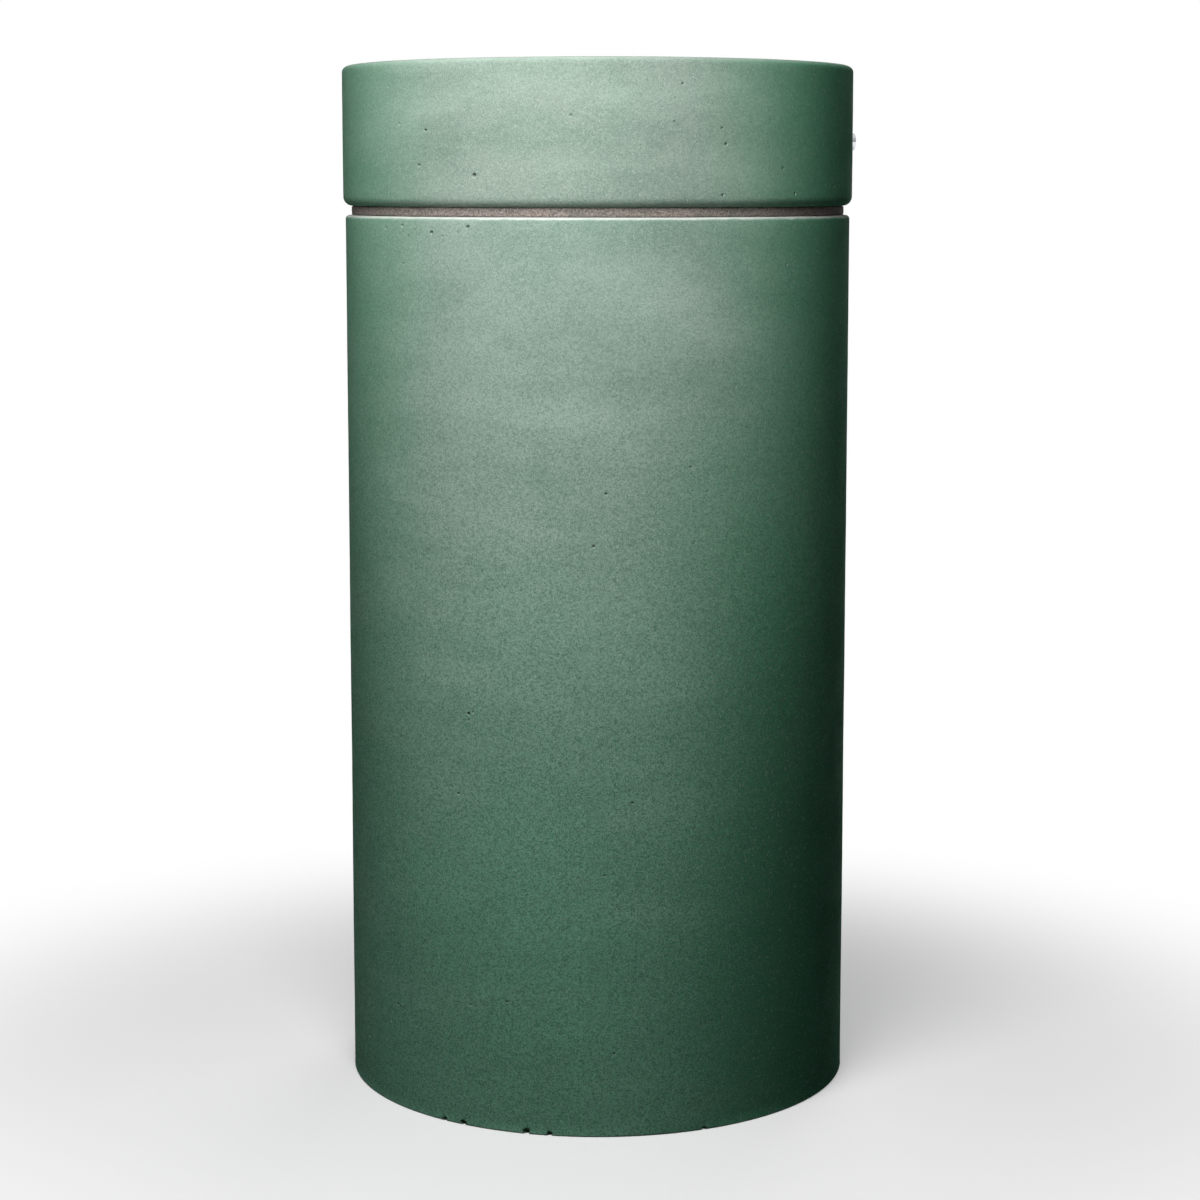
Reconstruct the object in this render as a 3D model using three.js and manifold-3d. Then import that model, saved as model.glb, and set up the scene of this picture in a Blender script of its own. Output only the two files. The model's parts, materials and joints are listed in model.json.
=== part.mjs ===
// Cylindrical drinking fountain in pigmented cast concrete: a short bowl head bedded on a recessed
// ring over a hollow pedestal, with the bubbler, push valve, drain, trap and supply inside it.
// Millimetres, +Z up, front towards -Y, push button on +X, service door at the rear (+Y).
// The origin is the centre of the base, on the floor.
import * as THREE from "three";
import { mergeVertices } from "three/addons/utils/BufferGeometryUtils.js";
import Module from "manifold-3d";

// ---- Driving dimensions: concrete -------------------------------------------------------------
const GAP = 0.3; // clearance between pieces that touch
const HEAD_RADIUS = 225;
const HEAD_HEIGHT = 121;
const HEAD_WALL = 35; // skirt around the recess under the bowl
const HEAD_CEILING = 40; // thickness of the flat rim
const HEAD_TOP_EDGE = 5.5; // rounded outer edges
const HEAD_LOWER_EDGE = 8;
const RIM_WIDTH = 67; // flat rim, from the outside to the bowl
const BOWL_DEPTH = 78;
const BOWL_SHELL = 28;
const RING_HEIGHT = 7.4;
const RING_SETBACK = 7; // shadow gap, from the head's outside
const RING_WIDTH = 30;
const PEDESTAL_SETBACK = 2; // the pedestal is this much slimmer than the head
const PEDESTAL_HEIGHT = 771;
const PEDESTAL_WALL = 40;
const PEDESTAL_TOP_EDGE = 3.5;
const PEDESTAL_FOOT_EDGE = 1.5;
const BASE_THICKNESS = 50;
const SERVICES_CLEARANCE = 1.7; // hole in the base, around the waste pipe at its edge

// ---- Driving dimensions: fixings --------------------------------------------------------------
const DOWEL_RADIUS = 6;
const DOWEL_DEPTH = 30; // into the pedestal, and the same into the head
const DOWEL_COUNT = 2;
const ANCHOR_CIRCLE = 130;
const ANCHOR_RADIUS = 6;
const ANCHOR_COUNT = 4;
const HOLE_CLEARANCE = 0.5; // radial, around a bolt or pipe in concrete

// ---- Driving dimensions: drain and trap -------------------------------------------------------
const DRAIN_RADIUS = 24.5; // threaded body of the bowl outlet
const DRAIN_WALL = 4;
const DRAIN_FLANGE_RADIUS = 37.2;
const DRAIN_SEAT_RADIUS = 36; // flat under the shell for washer and locknut
const DRAIN_THREAD = 36; // body below that flat
const WASTE_RADIUS = 16;
const WASTE_WALL = 1.6;
const TAILPIECE_LENGTH = 210;
const TRAP_RADIUS = 30;
const TRAP_WALL = 3;
const TRAP_BODY_LENGTH = 95;
const TRAP_NECK_LENGTH = 22;
const ELBOW_BEND = 22;

// ---- Driving dimensions: push valve -----------------------------------------------------------
const BUTTON_HEIGHT = 56; // axis above the head's underside
const BUTTON_RADIUS = 8;
const BUTTON_PROUD = 3;
const BUTTON_TRAVEL = 4.5;
const BEZEL_RADIUS = 17;
const SLEEVE_RADIUS = 14;
const VALVE_RADIUS = 12;
const STEM_RADIUS = 3;
const VALVE_TO_SHELL = 2.5; // from the valve's rear to the bowl shell above it
const CHAMBER_END = 4; // solid rear wall of the valve

// ---- Driving dimensions: bubbler and supply ---------------------------------------------------
const BUBBLER_FROM_RIM = 48; // horizontal distance from the bowl's edge to the bubbler
const BUBBLER_SHANK_RADIUS = 8;
const BUBBLER_FLANGE_RADIUS = 24;
const BUBBLER_TUBE_RADIUS = 4;
const SUPPLY_TUBE_RADIUS = 6;
const SUPPLY_FROM_WALL = 65; // supply line to cavity wall
const SUPPLY_ANGLE = 36.5; // degrees from +X
const STOP_VALVE_HEIGHT = 240; // underside of the stop valve above the floor
const STRAINER_RADIUS = 20;

// ---- Driving dimensions: service door ---------------------------------------------------------
const NICHE_DEPTH = 33; // flat niche, from the pedestal's outside at its middle
const DOOR_BOTTOM = 190;
const DOOR_HEIGHT = 360;
const DOOR_WIDTH = 164;
const DOOR_SHEET = 2;
const FRAME_SHEET = 3;
const FRAME_MARGIN = 10; // frame beyond the door at each side
const FRAME_END_MARGIN = 17; // frame beyond the door above and below
const FRAME_LIP = 10; // frame inside the hole in the concrete
const KNUCKLE_RADIUS = 3.5;
const HINGE_PIN_RADIUS = 1.6;
const LOCK_RADIUS = 9;
const LOCK_FROM_EDGE = 34;

// ---- Sizes that follow from them --------------------------------------------------------------
const ringBottom = PEDESTAL_HEIGHT + GAP;
const headBottom = ringBottom + RING_HEIGHT + GAP;
const totalHeight = headBottom + HEAD_HEIGHT;
const pedestalRadius = HEAD_RADIUS - PEDESTAL_SETBACK;
const cavityRadius = pedestalRadius - PEDESTAL_WALL;
const ringRadius = HEAD_RADIUS - RING_SETBACK;
const recessRadius = HEAD_RADIUS - HEAD_WALL;
const ceilingZ = totalHeight - HEAD_CEILING;
const bowlRadius = HEAD_RADIUS - RIM_WIDTH;
const sphereRadius = (bowlRadius ** 2 + BOWL_DEPTH ** 2) / (2 * BOWL_DEPTH);
const sphereZ = totalHeight - BOWL_DEPTH + sphereRadius;
const shellRadius = sphereRadius + BOWL_SHELL;
const bowlBottomZ = totalHeight - BOWL_DEPTH;
const buttonZ = headBottom + BUTTON_HEIGHT;
const nicheY = pedestalRadius - NICHE_DEPTH;
const dowelCircle = recessRadius + 13;
const outletY = -TRAP_RADIUS - 5; // end of the trap's outlet spigot
const wasteY = outletY - GAP - ELBOW_BEND;
const servicesRadius = WASTE_RADIUS - wasteY + SERVICES_CLEARANCE;

const LARGE = 48; // facets of the big concrete rings
const DRAIN_FACETS = 24;
const MEDIUM = 16;
const SMALL = 12;
const HEX = 6;
const MERGE_TOLERANCE = 1e-4;
const QUARTER = Math.PI / 2;

const wasm = await Module();
wasm.setup();

// ---- Solids and shapes ------------------------------------------------------------------------
function toSolid(geometry) {
  const bare = geometry.clone();
  bare.deleteAttribute("normal");
  bare.deleteAttribute("uv");
  const merged = mergeVertices(bare, MERGE_TOLERANCE);
  const mesh = new wasm.Mesh({
    numProp: 3,
    vertProperties: merged.attributes.position.array,
    triVerts: new Uint32Array(merged.index.array),
  });
  return new wasm.Manifold(mesh);
}

function toGeometry(solid) {
  const { vertProperties, triVerts } = solid.getMesh();
  const geometry = new THREE.BufferGeometry();
  geometry.setAttribute("position", new THREE.BufferAttribute(vertProperties, 3));
  geometry.setIndex(new THREE.BufferAttribute(triVerts, 1));
  geometry.computeVertexNormals();
  return geometry;
}

function cut(body, ...tools) {
  const result = tools.reduce((solid, tool) => solid.subtract(toSolid(tool)), toSolid(body));
  return toGeometry(result);
}

function join(body, ...others) {
  const result = others.reduce((solid, other) => solid.add(toSolid(other)), toSolid(body));
  return toGeometry(result);
}

function onSphere(radius, centreZ, angle) {
  return [radius * Math.sin(angle), centreZ - radius * Math.cos(angle)];
}

function sphereArc(radius, centreZ, from, to, steps) {
  const points = [];
  for (let i = 0; i <= steps; i += 1) {
    points.push(onSphere(radius, centreZ, from + ((to - from) * i) / steps));
  }
  return points;
}

function edgeArc(centreR, centreZ, radius, from, to, steps) {
  const points = [];
  for (let i = 0; i <= steps; i += 1) {
    const angle = from + ((to - from) * i) / steps;
    points.push([centreR + radius * Math.cos(angle), centreZ + radius * Math.sin(angle)]);
  }
  return points;
}

// A turned solid about Z. The profile is a loop of [radius, height], anticlockwise.
function turned(profile, facets = MEDIUM) {
  const loop = profile.map(([r, z]) => new THREE.Vector2(Math.max(r, 0), z));
  if (!(loop[0].x === 0 && loop[loop.length - 1].x === 0)) loop.push(loop[0].clone());
  const geometry = new THREE.LatheGeometry(loop, facets);
  return geometry.rotateX(QUARTER);
}

function rod(radius, fromZ, toZ, facets = MEDIUM) {
  return turned([[0, fromZ], [radius, fromZ], [radius, toZ], [0, toZ]], facets);
}

function pipe(radius, bore, fromZ, toZ, facets = MEDIUM) {
  return turned([[bore, fromZ], [radius, fromZ], [radius, toZ], [bore, toZ]], facets);
}

function block(fromX, toX, fromY, toY, fromZ, toZ) {
  const geometry = new THREE.BoxGeometry(toX - fromX, toY - fromY, toZ - fromZ);
  return geometry.translate((fromX + toX) / 2, (fromY + toY) / 2, (fromZ + toZ) / 2);
}

function hexPrism(acrossFlats, fromZ, toZ) {
  return rod(acrossFlats / Math.sqrt(3), fromZ, toZ, HEX);
}

function hexNut(acrossFlats, bore, fromZ, toZ, facets = MEDIUM) {
  return cut(hexPrism(acrossFlats, fromZ, toZ), rod(bore, fromZ - 1, toZ + 1, facets));
}

// A hexagonal cup nut: a wide bore over the first fitting, a narrow one around the tube.
function cupNut(acrossFlats, wideBore, narrowBore, mouthZ, shoulderZ, endZ, facets = MEDIUM) {
  const low = Math.min(mouthZ, endZ);
  const high = Math.max(mouthZ, endZ);
  const beyond = mouthZ + Math.sign(mouthZ - shoulderZ);
  return cut(
    hexPrism(acrossFlats, low, high),
    rod(narrowBore, low - 1, high + 1),
    rod(wideBore, Math.min(beyond, shoulderZ), Math.max(beyond, shoulderZ), facets),
  );
}

// A pipe route: straight runs joined by round bends at the inner points.
function bentRoute(points, bend) {
  const corners = points.map((p) => new THREE.Vector3(...p));
  const route = new THREE.CurvePath();
  let start = corners[0];
  for (let i = 1; i < corners.length - 1; i += 1) {
    const before = corners[i].clone().sub(corners[i - 1]).normalize();
    const after = corners[i + 1].clone().sub(corners[i]).normalize();
    const bendStart = corners[i].clone().addScaledVector(before, -bend);
    const bendEnd = corners[i].clone().addScaledVector(after, bend);
    route.add(new THREE.LineCurve3(start, bendStart));
    route.add(new THREE.QuadraticBezierCurve3(bendStart, corners[i], bendEnd));
    start = bendEnd;
  }
  route.add(new THREE.LineCurve3(start, corners[corners.length - 1]));
  return route;
}

function circle(radius, sides) {
  const points = [];
  for (let i = 0; i < sides; i += 1) {
    const angle = (2 * Math.PI * i) / sides;
    points.push(new THREE.Vector2(radius * Math.cos(angle), radius * Math.sin(angle)));
  }
  return points;
}

function sweep(route, radius, sides, steps, bore = 0) {
  const section = new THREE.Shape(circle(radius, sides));
  if (bore > 0) section.holes.push(new THREE.Path(circle(bore, sides)));
  return new THREE.ExtrudeGeometry(section, { steps, extrudePath: route, bevelEnabled: false });
}

// ---- Materials --------------------------------------------------------------------------------
function material(color, roughness, metalness) {
  return new THREE.MeshStandardMaterial({ color, roughness, metalness });
}
const greenConcrete = () => material(0x5d8570, 0.85, 0);
const ringMortar = () => material(0x6e655c, 0.95, 0);
const chrome = () => material(0xc9ccd0, 0.12, 1);
const steel = () => material(0x9da1a4, 0.35, 1);
const brass = () => material(0xb08d4b, 0.3, 1);
const copper = () => material(0xb06a45, 0.35, 1);
const rubber = () => material(0x1d1d1f, 0.8, 0);
const whitePlastic = () => material(0xe4e4df, 0.4, 0);
const bluePlastic = () => material(0x2a5f9e, 0.4, 0);

const fountain = new THREE.Group();

function addPart(parent, name, geometry, look) {
  const mesh = new THREE.Mesh(geometry, look);
  mesh.name = name;
  parent.add(mesh);
  return mesh;
}

// Places copies evenly around Z, and calls make(angle, number) for each.
function around(count, firstAngle, make) {
  for (let i = 0; i < count; i += 1) {
    make(firstAngle + (2 * Math.PI * i) / count, i + 1);
  }
}

function atAngle(geometry, radius, angle) {
  return geometry.translate(radius * Math.cos(angle), radius * Math.sin(angle), 0);
}

const DOWEL_START = -QUARTER;
const ANCHOR_START = QUARTER / 2;

function dowelHoles(fromZ, toZ) {
  const holes = [];
  around(DOWEL_COUNT, DOWEL_START, (angle) => {
    holes.push(atAngle(rod(DOWEL_RADIUS + HOLE_CLEARANCE, fromZ, toZ, SMALL), dowelCircle, angle));
  });
  return holes;
}

// ---- Service door places, shared by the pedestal, frame and leaf ------------------------------
const doorHalf = DOOR_WIDTH / 2;
const doorTop = DOOR_BOTTOM + DOOR_HEIGHT;
const frameHalf = doorHalf + FRAME_MARGIN;
const frameBottom = DOOR_BOTTOM - FRAME_END_MARGIN;
const frameTop = doorTop + FRAME_END_MARGIN;
const holeHalf = doorHalf - 2; // hole through the concrete
const frameBackY = nicheY + GAP;
const frameFrontY = frameBackY + FRAME_SHEET;
const leafBackY = frameFrontY + 0.5;
const leafFrontY = leafBackY + DOOR_SHEET;
const hingeX = -doorHalf - 5;
const hingeY = leafBackY + KNUCKLE_RADIUS - 0.1;
const hingeInset = 60; // hinge centres from the door's ends
const screwX = doorHalf - 2;
const screwZInset = FRAME_END_MARGIN / 2;
const frameScrewPlaces = [-1, 1].flatMap((side) => [
  [side * screwX, frameBottom + screwZInset],
  [side * screwX, frameTop - screwZInset],
]);

// A cylinder lying along Y, for the fixings of the door.
function rodAlongY(radius, fromY, toY, x, z, facets = SMALL) {
  return rod(radius, fromY, toY, facets).rotateX(-QUARTER).translate(x, 0, z);
}

// ---- Concrete ---------------------------------------------------------------------------------
function makePedestal() {
  const foot = PEDESTAL_FOOT_EDGE;
  const edge = PEDESTAL_TOP_EDGE;
  const shell = turned([
    [servicesRadius, 0],
    [pedestalRadius - foot, 0],
    [pedestalRadius, foot],
    ...edgeArc(pedestalRadius - edge, PEDESTAL_HEIGHT - edge, edge, 0, QUARTER, 2),
    [cavityRadius, PEDESTAL_HEIGHT],
    [cavityRadius, BASE_THICKNESS],
    [servicesRadius, BASE_THICKNESS],
  ], LARGE);
  const outside = pedestalRadius + 10;
  const niche = block(
    -frameHalf - 1, frameHalf + 1, nicheY, outside, frameBottom - 1, frameTop + 1);
  const doorHole = block(-holeHalf, holeHalf, cavityRadius / 2, outside, DOOR_BOTTOM, doorTop);
  const screwHoles = frameScrewPlaces.map(
    ([x, z]) => rodAlongY(3, nicheY - 26, outside, x, z));
  const anchorHoles = [];
  around(ANCHOR_COUNT, ANCHOR_START, (angle) => {
    const hole = rod(ANCHOR_RADIUS + 1.5, -1, BASE_THICKNESS + 1, SMALL);
    anchorHoles.push(atAngle(hole, ANCHOR_CIRCLE, angle));
  });
  const dowels = dowelHoles(PEDESTAL_HEIGHT - DOWEL_DEPTH, PEDESTAL_HEIGHT + 1);
  return cut(shell, niche, doorHole, ...screwHoles, ...anchorHoles, ...dowels);
}

function makeRing() {
  const ring = pipe(ringRadius, ringRadius - RING_WIDTH, ringBottom, ringBottom + RING_HEIGHT, LARGE);
  return cut(ring, ...dowelHoles(ringBottom - 1, headBottom));
}

// Seats cut into the bowl shell.
const drainSeatZ = sphereZ - Math.sqrt(shellRadius ** 2 - DRAIN_SEAT_RADIUS ** 2);
const drainRecessRadius = DRAIN_FLANGE_RADIUS + 0.8;
const drainRecessZ = bowlBottomZ - 1.8;
const bubblerY = bowlRadius - BUBBLER_FROM_RIM;
const bubblerTilt = Math.asin(bubblerY / sphereRadius);
const bubblerZ = sphereZ - sphereRadius * Math.cos(bubblerTilt);
const bubblerWasherRadius = 20;
const bubblerSeat = -BOWL_SHELL + (bubblerWasherRadius + 1) ** 2 / (2 * shellRadius);
const wallSeatX = recessRadius; // flat inside the skirt behind the push button
const bezelSeatX = HEAD_RADIUS - 3;

function headProfile() {
  const rimAngle = Math.asin(bowlRadius / sphereRadius);
  const drainAngle = Math.asin(drainRecessRadius / sphereRadius);
  const shellFrom = Math.asin(DRAIN_SEAT_RADIUS / shellRadius);
  const shellTo = Math.acos((sphereZ - ceilingZ) / shellRadius);
  const low = HEAD_LOWER_EDGE;
  const top = HEAD_TOP_EDGE;
  return [
    [recessRadius + 2, headBottom],
    ...edgeArc(HEAD_RADIUS - low, headBottom + low, low, -QUARTER, 0, 2),
    ...edgeArc(HEAD_RADIUS - top, totalHeight - top, top, 0, QUARTER, 2),
    [bowlRadius + 4, totalHeight],
    [bowlRadius + 0.5, totalHeight - 1],
    ...sphereArc(sphereRadius, sphereZ, rimAngle - 0.02, drainAngle, 7),
    [drainRecessRadius, drainRecessZ],
    [DRAIN_RADIUS + HOLE_CLEARANCE, drainRecessZ],
    [DRAIN_RADIUS + HOLE_CLEARANCE, drainSeatZ],
    ...sphereArc(shellRadius, sphereZ, shellFrom, shellTo, 3),
    [recessRadius, ceilingZ],
    [recessRadius, headBottom + 2],
  ];
}

function alongBubbler(geometry) {
  return geometry.rotateX(bubblerTilt).translate(0, bubblerY, bubblerZ);
}

function alongButton(geometry) {
  return geometry.rotateY(QUARTER).translate(0, 0, buttonZ);
}

function makeHead() {
  const bubblerCuts = [
    rod(BUBBLER_SHANK_RADIUS + 1, -BOWL_SHELL - 20, 12, SMALL),
    rod(BUBBLER_FLANGE_RADIUS + 2, -0.5, 12, MEDIUM),
    rod(bubblerWasherRadius + 1, -BOWL_SHELL - 12, bubblerSeat, MEDIUM),
  ].map(alongBubbler);
  const buttonCuts = [
    rod(SLEEVE_RADIUS + HOLE_CLEARANCE, wallSeatX - 20, HEAD_RADIUS + 5, MEDIUM),
    rod(BEZEL_RADIUS + GAP, bezelSeatX, HEAD_RADIUS + 5, MEDIUM),
    rod(bezelWasherRadius + 1, wallSeatX - 8, wallSeatX, MEDIUM),
  ].map(alongButton);
  const dowels = dowelHoles(headBottom - 1, headBottom + DOWEL_DEPTH);
  return cut(turned(headProfile(), LARGE), ...bubblerCuts, ...buttonCuts, ...dowels);
}

// ---- Fixings ----------------------------------------------------------------------------------
function addDowels() {
  around(DOWEL_COUNT, DOWEL_START, (angle, number) => {
    const from = PEDESTAL_HEIGHT - DOWEL_DEPTH + GAP;
    const to = headBottom + DOWEL_DEPTH - GAP;
    const dowel = turned([
      [0, from],
      [DOWEL_RADIUS - 1, from],
      [DOWEL_RADIUS, from + 1],
      [DOWEL_RADIUS, to - 1],
      [DOWEL_RADIUS - 1, to],
      [0, to],
    ], SMALL);
    addPart(fountain, `head_dowel_${number}`, atAngle(dowel, dowelCircle, angle), steel());
  });
}

function addAnchors() {
  const seat = BASE_THICKNESS + GAP;
  around(ANCHOR_COUNT, ANCHOR_START, (angle, number) => {
    const shank = rod(ANCHOR_RADIUS, GAP, seat + 1, SMALL);
    const flange = rod(ANCHOR_RADIUS + 8, seat, seat + 2.5);
    const head = hexPrism(19, seat + 2, seat + 11);
    const bolt = join(flange, shank, head);
    addPart(fountain, `anchor_bolt_${number}`, atAngle(bolt, ANCHOR_CIRCLE, angle), steel());
  });
}

// ---- Drain ------------------------------------------------------------------------------------
const drainBore = DRAIN_RADIUS - DRAIN_WALL;
const drainBottomZ = drainSeatZ - DRAIN_THREAD;
const drainFlangeZ = drainRecessZ + 1.8; // underside of the flange, on its gasket
const ledgeZ = drainFlangeZ - 2.5;
const strainerRadius = drainBore + 1.5;
const strainerTopZ = ledgeZ + GAP + 2.5;

function makeDrainBody() {
  const body = turned([
    [drainBore, drainBottomZ],
    [DRAIN_RADIUS, drainBottomZ],
    [DRAIN_RADIUS, drainFlangeZ],
    [DRAIN_FLANGE_RADIUS, drainFlangeZ],
    [DRAIN_FLANGE_RADIUS, drainFlangeZ + 2.2],
    [DRAIN_FLANGE_RADIUS - 0.8, drainFlangeZ + 3],
    [strainerRadius + 1.2, drainFlangeZ + 1],
    [strainerRadius + GAP, drainFlangeZ + 0.6],
    [strainerRadius + GAP, ledgeZ],
    [drainBore, ledgeZ],
  ], DRAIN_FACETS);
  const bar = block(-drainBore - 1, drainBore + 1, -3.5, 3.5, ledgeZ - 14, ledgeZ - 7);
  return cut(join(body, bar), rod(2.8, ledgeZ - 20, ledgeZ, SMALL));
}

function makeStrainer() {
  const plate = rod(strainerRadius, ledgeZ + GAP, strainerTopZ, DRAIN_FACETS);
  const holes = [rod(2.8, ledgeZ - 1, strainerTopZ + 1, SMALL)];
  const rows = [[6, 9.5], [12, 16.5]];
  rows.forEach(([count, radius]) => {
    around(count, 0, (angle) => {
      holes.push(atAngle(rod(2.2, ledgeZ - 1, strainerTopZ + 1, 8), radius, angle));
    });
  });
  return cut(plate, ...holes);
}

function addDrain() {
  addPart(fountain, "drain_body", makeDrainBody(), chrome());
  const gasketZ = drainRecessZ + GAP;
  const bore = DRAIN_RADIUS + GAP;
  const gasketTop = drainFlangeZ - GAP;
  const gasket = pipe(DRAIN_FLANGE_RADIUS - 1, bore, gasketZ, gasketTop, DRAIN_FACETS);
  addPart(fountain, "drain_gasket", gasket, rubber());
  addPart(fountain, "drain_strainer", makeStrainer(), chrome());
  const screwHead = turned([
    [0, strainerTopZ + GAP],
    [5, strainerTopZ + GAP],
    [4.4, strainerTopZ + GAP + 1.6],
    [2.4, strainerTopZ + GAP + 2.4],
    [0, strainerTopZ + GAP + 2.6],
  ], SMALL);
  const slot = block(-6, 6, -0.6, 0.6, strainerTopZ + GAP + 1.4, strainerTopZ + 6);
  const screw = cut(join(screwHead, rod(2.4, ledgeZ - 16, strainerTopZ + 1, SMALL)), slot);
  addPart(fountain, "strainer_screw", screw, chrome());
  const washerTop = drainSeatZ - GAP;
  const washer = pipe(DRAIN_SEAT_RADIUS - 2, bore, washerTop - 2, washerTop, DRAIN_FACETS);
  addPart(fountain, "drain_washer", washer, steel());
  const nutTop = washerTop - 2 - GAP;
  addPart(fountain, "drain_locknut", hexNut(60, bore, nutTop - 9, nutTop, DRAIN_FACETS), brass());
}

// ---- Tailpiece, bottle trap and waste ---------------------------------------------------------
const wasteBore = WASTE_RADIUS - WASTE_WALL;
const tailBottomZ = drainBottomZ - TAILPIECE_LENGTH;
const trapNeckTopZ = tailBottomZ + 72;
const trapShoulderZ = trapNeckTopZ - TRAP_NECK_LENGTH;
const trapBottomZ = trapShoulderZ - TRAP_BODY_LENGTH;
const trapOutletZ = trapShoulderZ - 22;

function makeTrapBody() {
  const neck = WASTE_RADIUS + 4;
  const body = turned([
    [TRAP_RADIUS - TRAP_WALL, trapBottomZ],
    [TRAP_RADIUS, trapBottomZ],
    [TRAP_RADIUS, trapShoulderZ - 4],
    [TRAP_RADIUS - 4, trapShoulderZ],
    [neck, trapShoulderZ],
    [neck, trapNeckTopZ],
    [WASTE_RADIUS + GAP, trapNeckTopZ],
    [WASTE_RADIUS + GAP, trapShoulderZ - TRAP_WALL],
    [TRAP_RADIUS - TRAP_WALL, trapShoulderZ - TRAP_WALL - 3],
  ]);
  const toOutlet = (geometry) => geometry.rotateX(QUARTER).translate(0, 0, trapOutletZ);
  const spigot = toOutlet(rod(WASTE_RADIUS + 2, TRAP_RADIUS - 1.5, -outletY));
  const throughWall = cut(spigot, rod(TRAP_RADIUS - TRAP_WALL + 0.5, trapBottomZ, trapNeckTopZ));
  return cut(join(body, throughWall), toOutlet(rod(wasteBore, TRAP_RADIUS - 8, -outletY + 1)));
}

function makeTrapCup() {
  const inside = TRAP_RADIUS + GAP;
  const outside = inside + TRAP_WALL;
  const bottom = trapBottomZ - 42;
  return turned([
    [0, bottom],
    [outside - 5, bottom],
    [outside, bottom + 5],
    [outside, trapBottomZ + 8],
    [inside, trapBottomZ + 8],
    [inside, trapBottomZ - GAP],
    [TRAP_RADIUS - TRAP_WALL, trapBottomZ - GAP],
    [TRAP_RADIUS - TRAP_WALL, bottom + 8],
    [TRAP_RADIUS - TRAP_WALL - 4, bottom + 4],
    [0, bottom + 4],
  ]);
}

function makeTailpiece() {
  const top = drainBottomZ - GAP;
  const flange = drainBore;
  return turned([
    [wasteBore, tailBottomZ],
    [WASTE_RADIUS, tailBottomZ],
    [WASTE_RADIUS, top - 2.4],
    [flange, top - 2.4],
    [flange, top],
    [wasteBore, top],
  ]);
}

function makeElbow() {
  const centre = new THREE.Vector3(0, outletY - GAP, trapOutletZ - ELBOW_BEND);
  const bend = new THREE.CurvePath();
  const start = new THREE.Vector3(0, centre.y, trapOutletZ);
  const corner = new THREE.Vector3(0, wasteY, trapOutletZ);
  const end = new THREE.Vector3(0, wasteY, centre.z);
  bend.add(new THREE.QuadraticBezierCurve3(start, corner, end));
  bend.add(new THREE.LineCurve3(end, end.clone().setZ(end.z - 16)));
  return sweep(bend, WASTE_RADIUS + 1, MEDIUM, 6, wasteBore);
}

function addTrap() {
  addPart(fountain, "tailpiece", makeTailpiece(), chrome());
  const nut = cupNut(58, DRAIN_RADIUS + GAP, WASTE_RADIUS + GAP,
    drainBottomZ + 16, drainBottomZ - 3, drainBottomZ - 12, DRAIN_FACETS);
  addPart(fountain, "tailpiece_nut", nut, chrome());
  addPart(fountain, "trap_body", makeTrapBody(), whitePlastic());
  addPart(fountain, "trap_cup", makeTrapCup(), whitePlastic());
  const inletNut = cupNut(50, WASTE_RADIUS + 4 + GAP, WASTE_RADIUS + GAP,
    trapNeckTopZ - 14, trapNeckTopZ + GAP, trapNeckTopZ + 8);
  addPart(fountain, "trap_inlet_nut", inletNut, whitePlastic());
  addPart(fountain, "waste_elbow", makeElbow(), whitePlastic());
  const pipeTop = trapOutletZ - ELBOW_BEND - 16 - GAP;
  const waste = pipe(WASTE_RADIUS, wasteBore, GAP, pipeTop, MEDIUM).translate(0, wasteY, 0);
  addPart(fountain, "waste_pipe", waste, whitePlastic());
}

// ---- Push valve, on an axis group whose +Z points outwards through the skirt ------------------
const bezelWasherRadius = 22;
const lipX = bezelSeatX - 6; // inner face of the lip that stops the button
const collarFrontX = lipX - GAP;
const collarBackX = collarFrontX - 5;
const buttonFaceX = HEAD_RADIUS + BUTTON_PROUD;
const sleeveBackX = wallSeatX - 14;
const sleeveBore = SLEEVE_RADIUS - 3;
const barrelFrontX = collarBackX - 15;
const valveFrontX = sleeveBackX - GAP;
const valveTopZ = buttonZ + VALVE_RADIUS;
const valveBackX = Math.sqrt(shellRadius ** 2 - (sphereZ - valveTopZ) ** 2) + VALVE_TO_SHELL;
const outletX = valveFrontX - 6;
const inletX = valveBackX + 8;
const portLength = 14; // inlet and outlet bosses, from the valve's side
const inletEnd = VALVE_RADIUS + portLength + 6;
const outletEnd = VALVE_RADIUS + portLength;
const capClearance = 0.4;
const springRadius = 7.6;
const springWire = 0.8;

function makeBezel() {
  const seat = bezelSeatX + GAP;
  const face = seat + 2;
  return turned([
    [sleeveBore, sleeveBackX],
    [SLEEVE_RADIUS, sleeveBackX],
    [SLEEVE_RADIUS, seat],
    [BEZEL_RADIUS, seat],
    [BEZEL_RADIUS, face - 0.6],
    [BEZEL_RADIUS - 0.7, face],
    [BUTTON_RADIUS + 5, face - 0.2],
    [BUTTON_RADIUS + capClearance, face - 1.6],
    [BUTTON_RADIUS + capClearance, lipX],
    [sleeveBore, lipX],
  ]);
}

function makeButton() {
  const collar = sleeveBore - 0.4;
  return turned([
    [0, collarBackX],
    [collar, collarBackX],
    [collar, collarFrontX],
    [BUTTON_RADIUS, collarFrontX],
    [BUTTON_RADIUS, buttonFaceX - 1.6],
    [BUTTON_RADIUS - 0.6, buttonFaceX - 0.7],
    [BUTTON_RADIUS - 2, buttonFaceX - 0.1],
    [BUTTON_RADIUS - 4, buttonFaceX],
    [0, buttonFaceX],
  ]);
}

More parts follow.
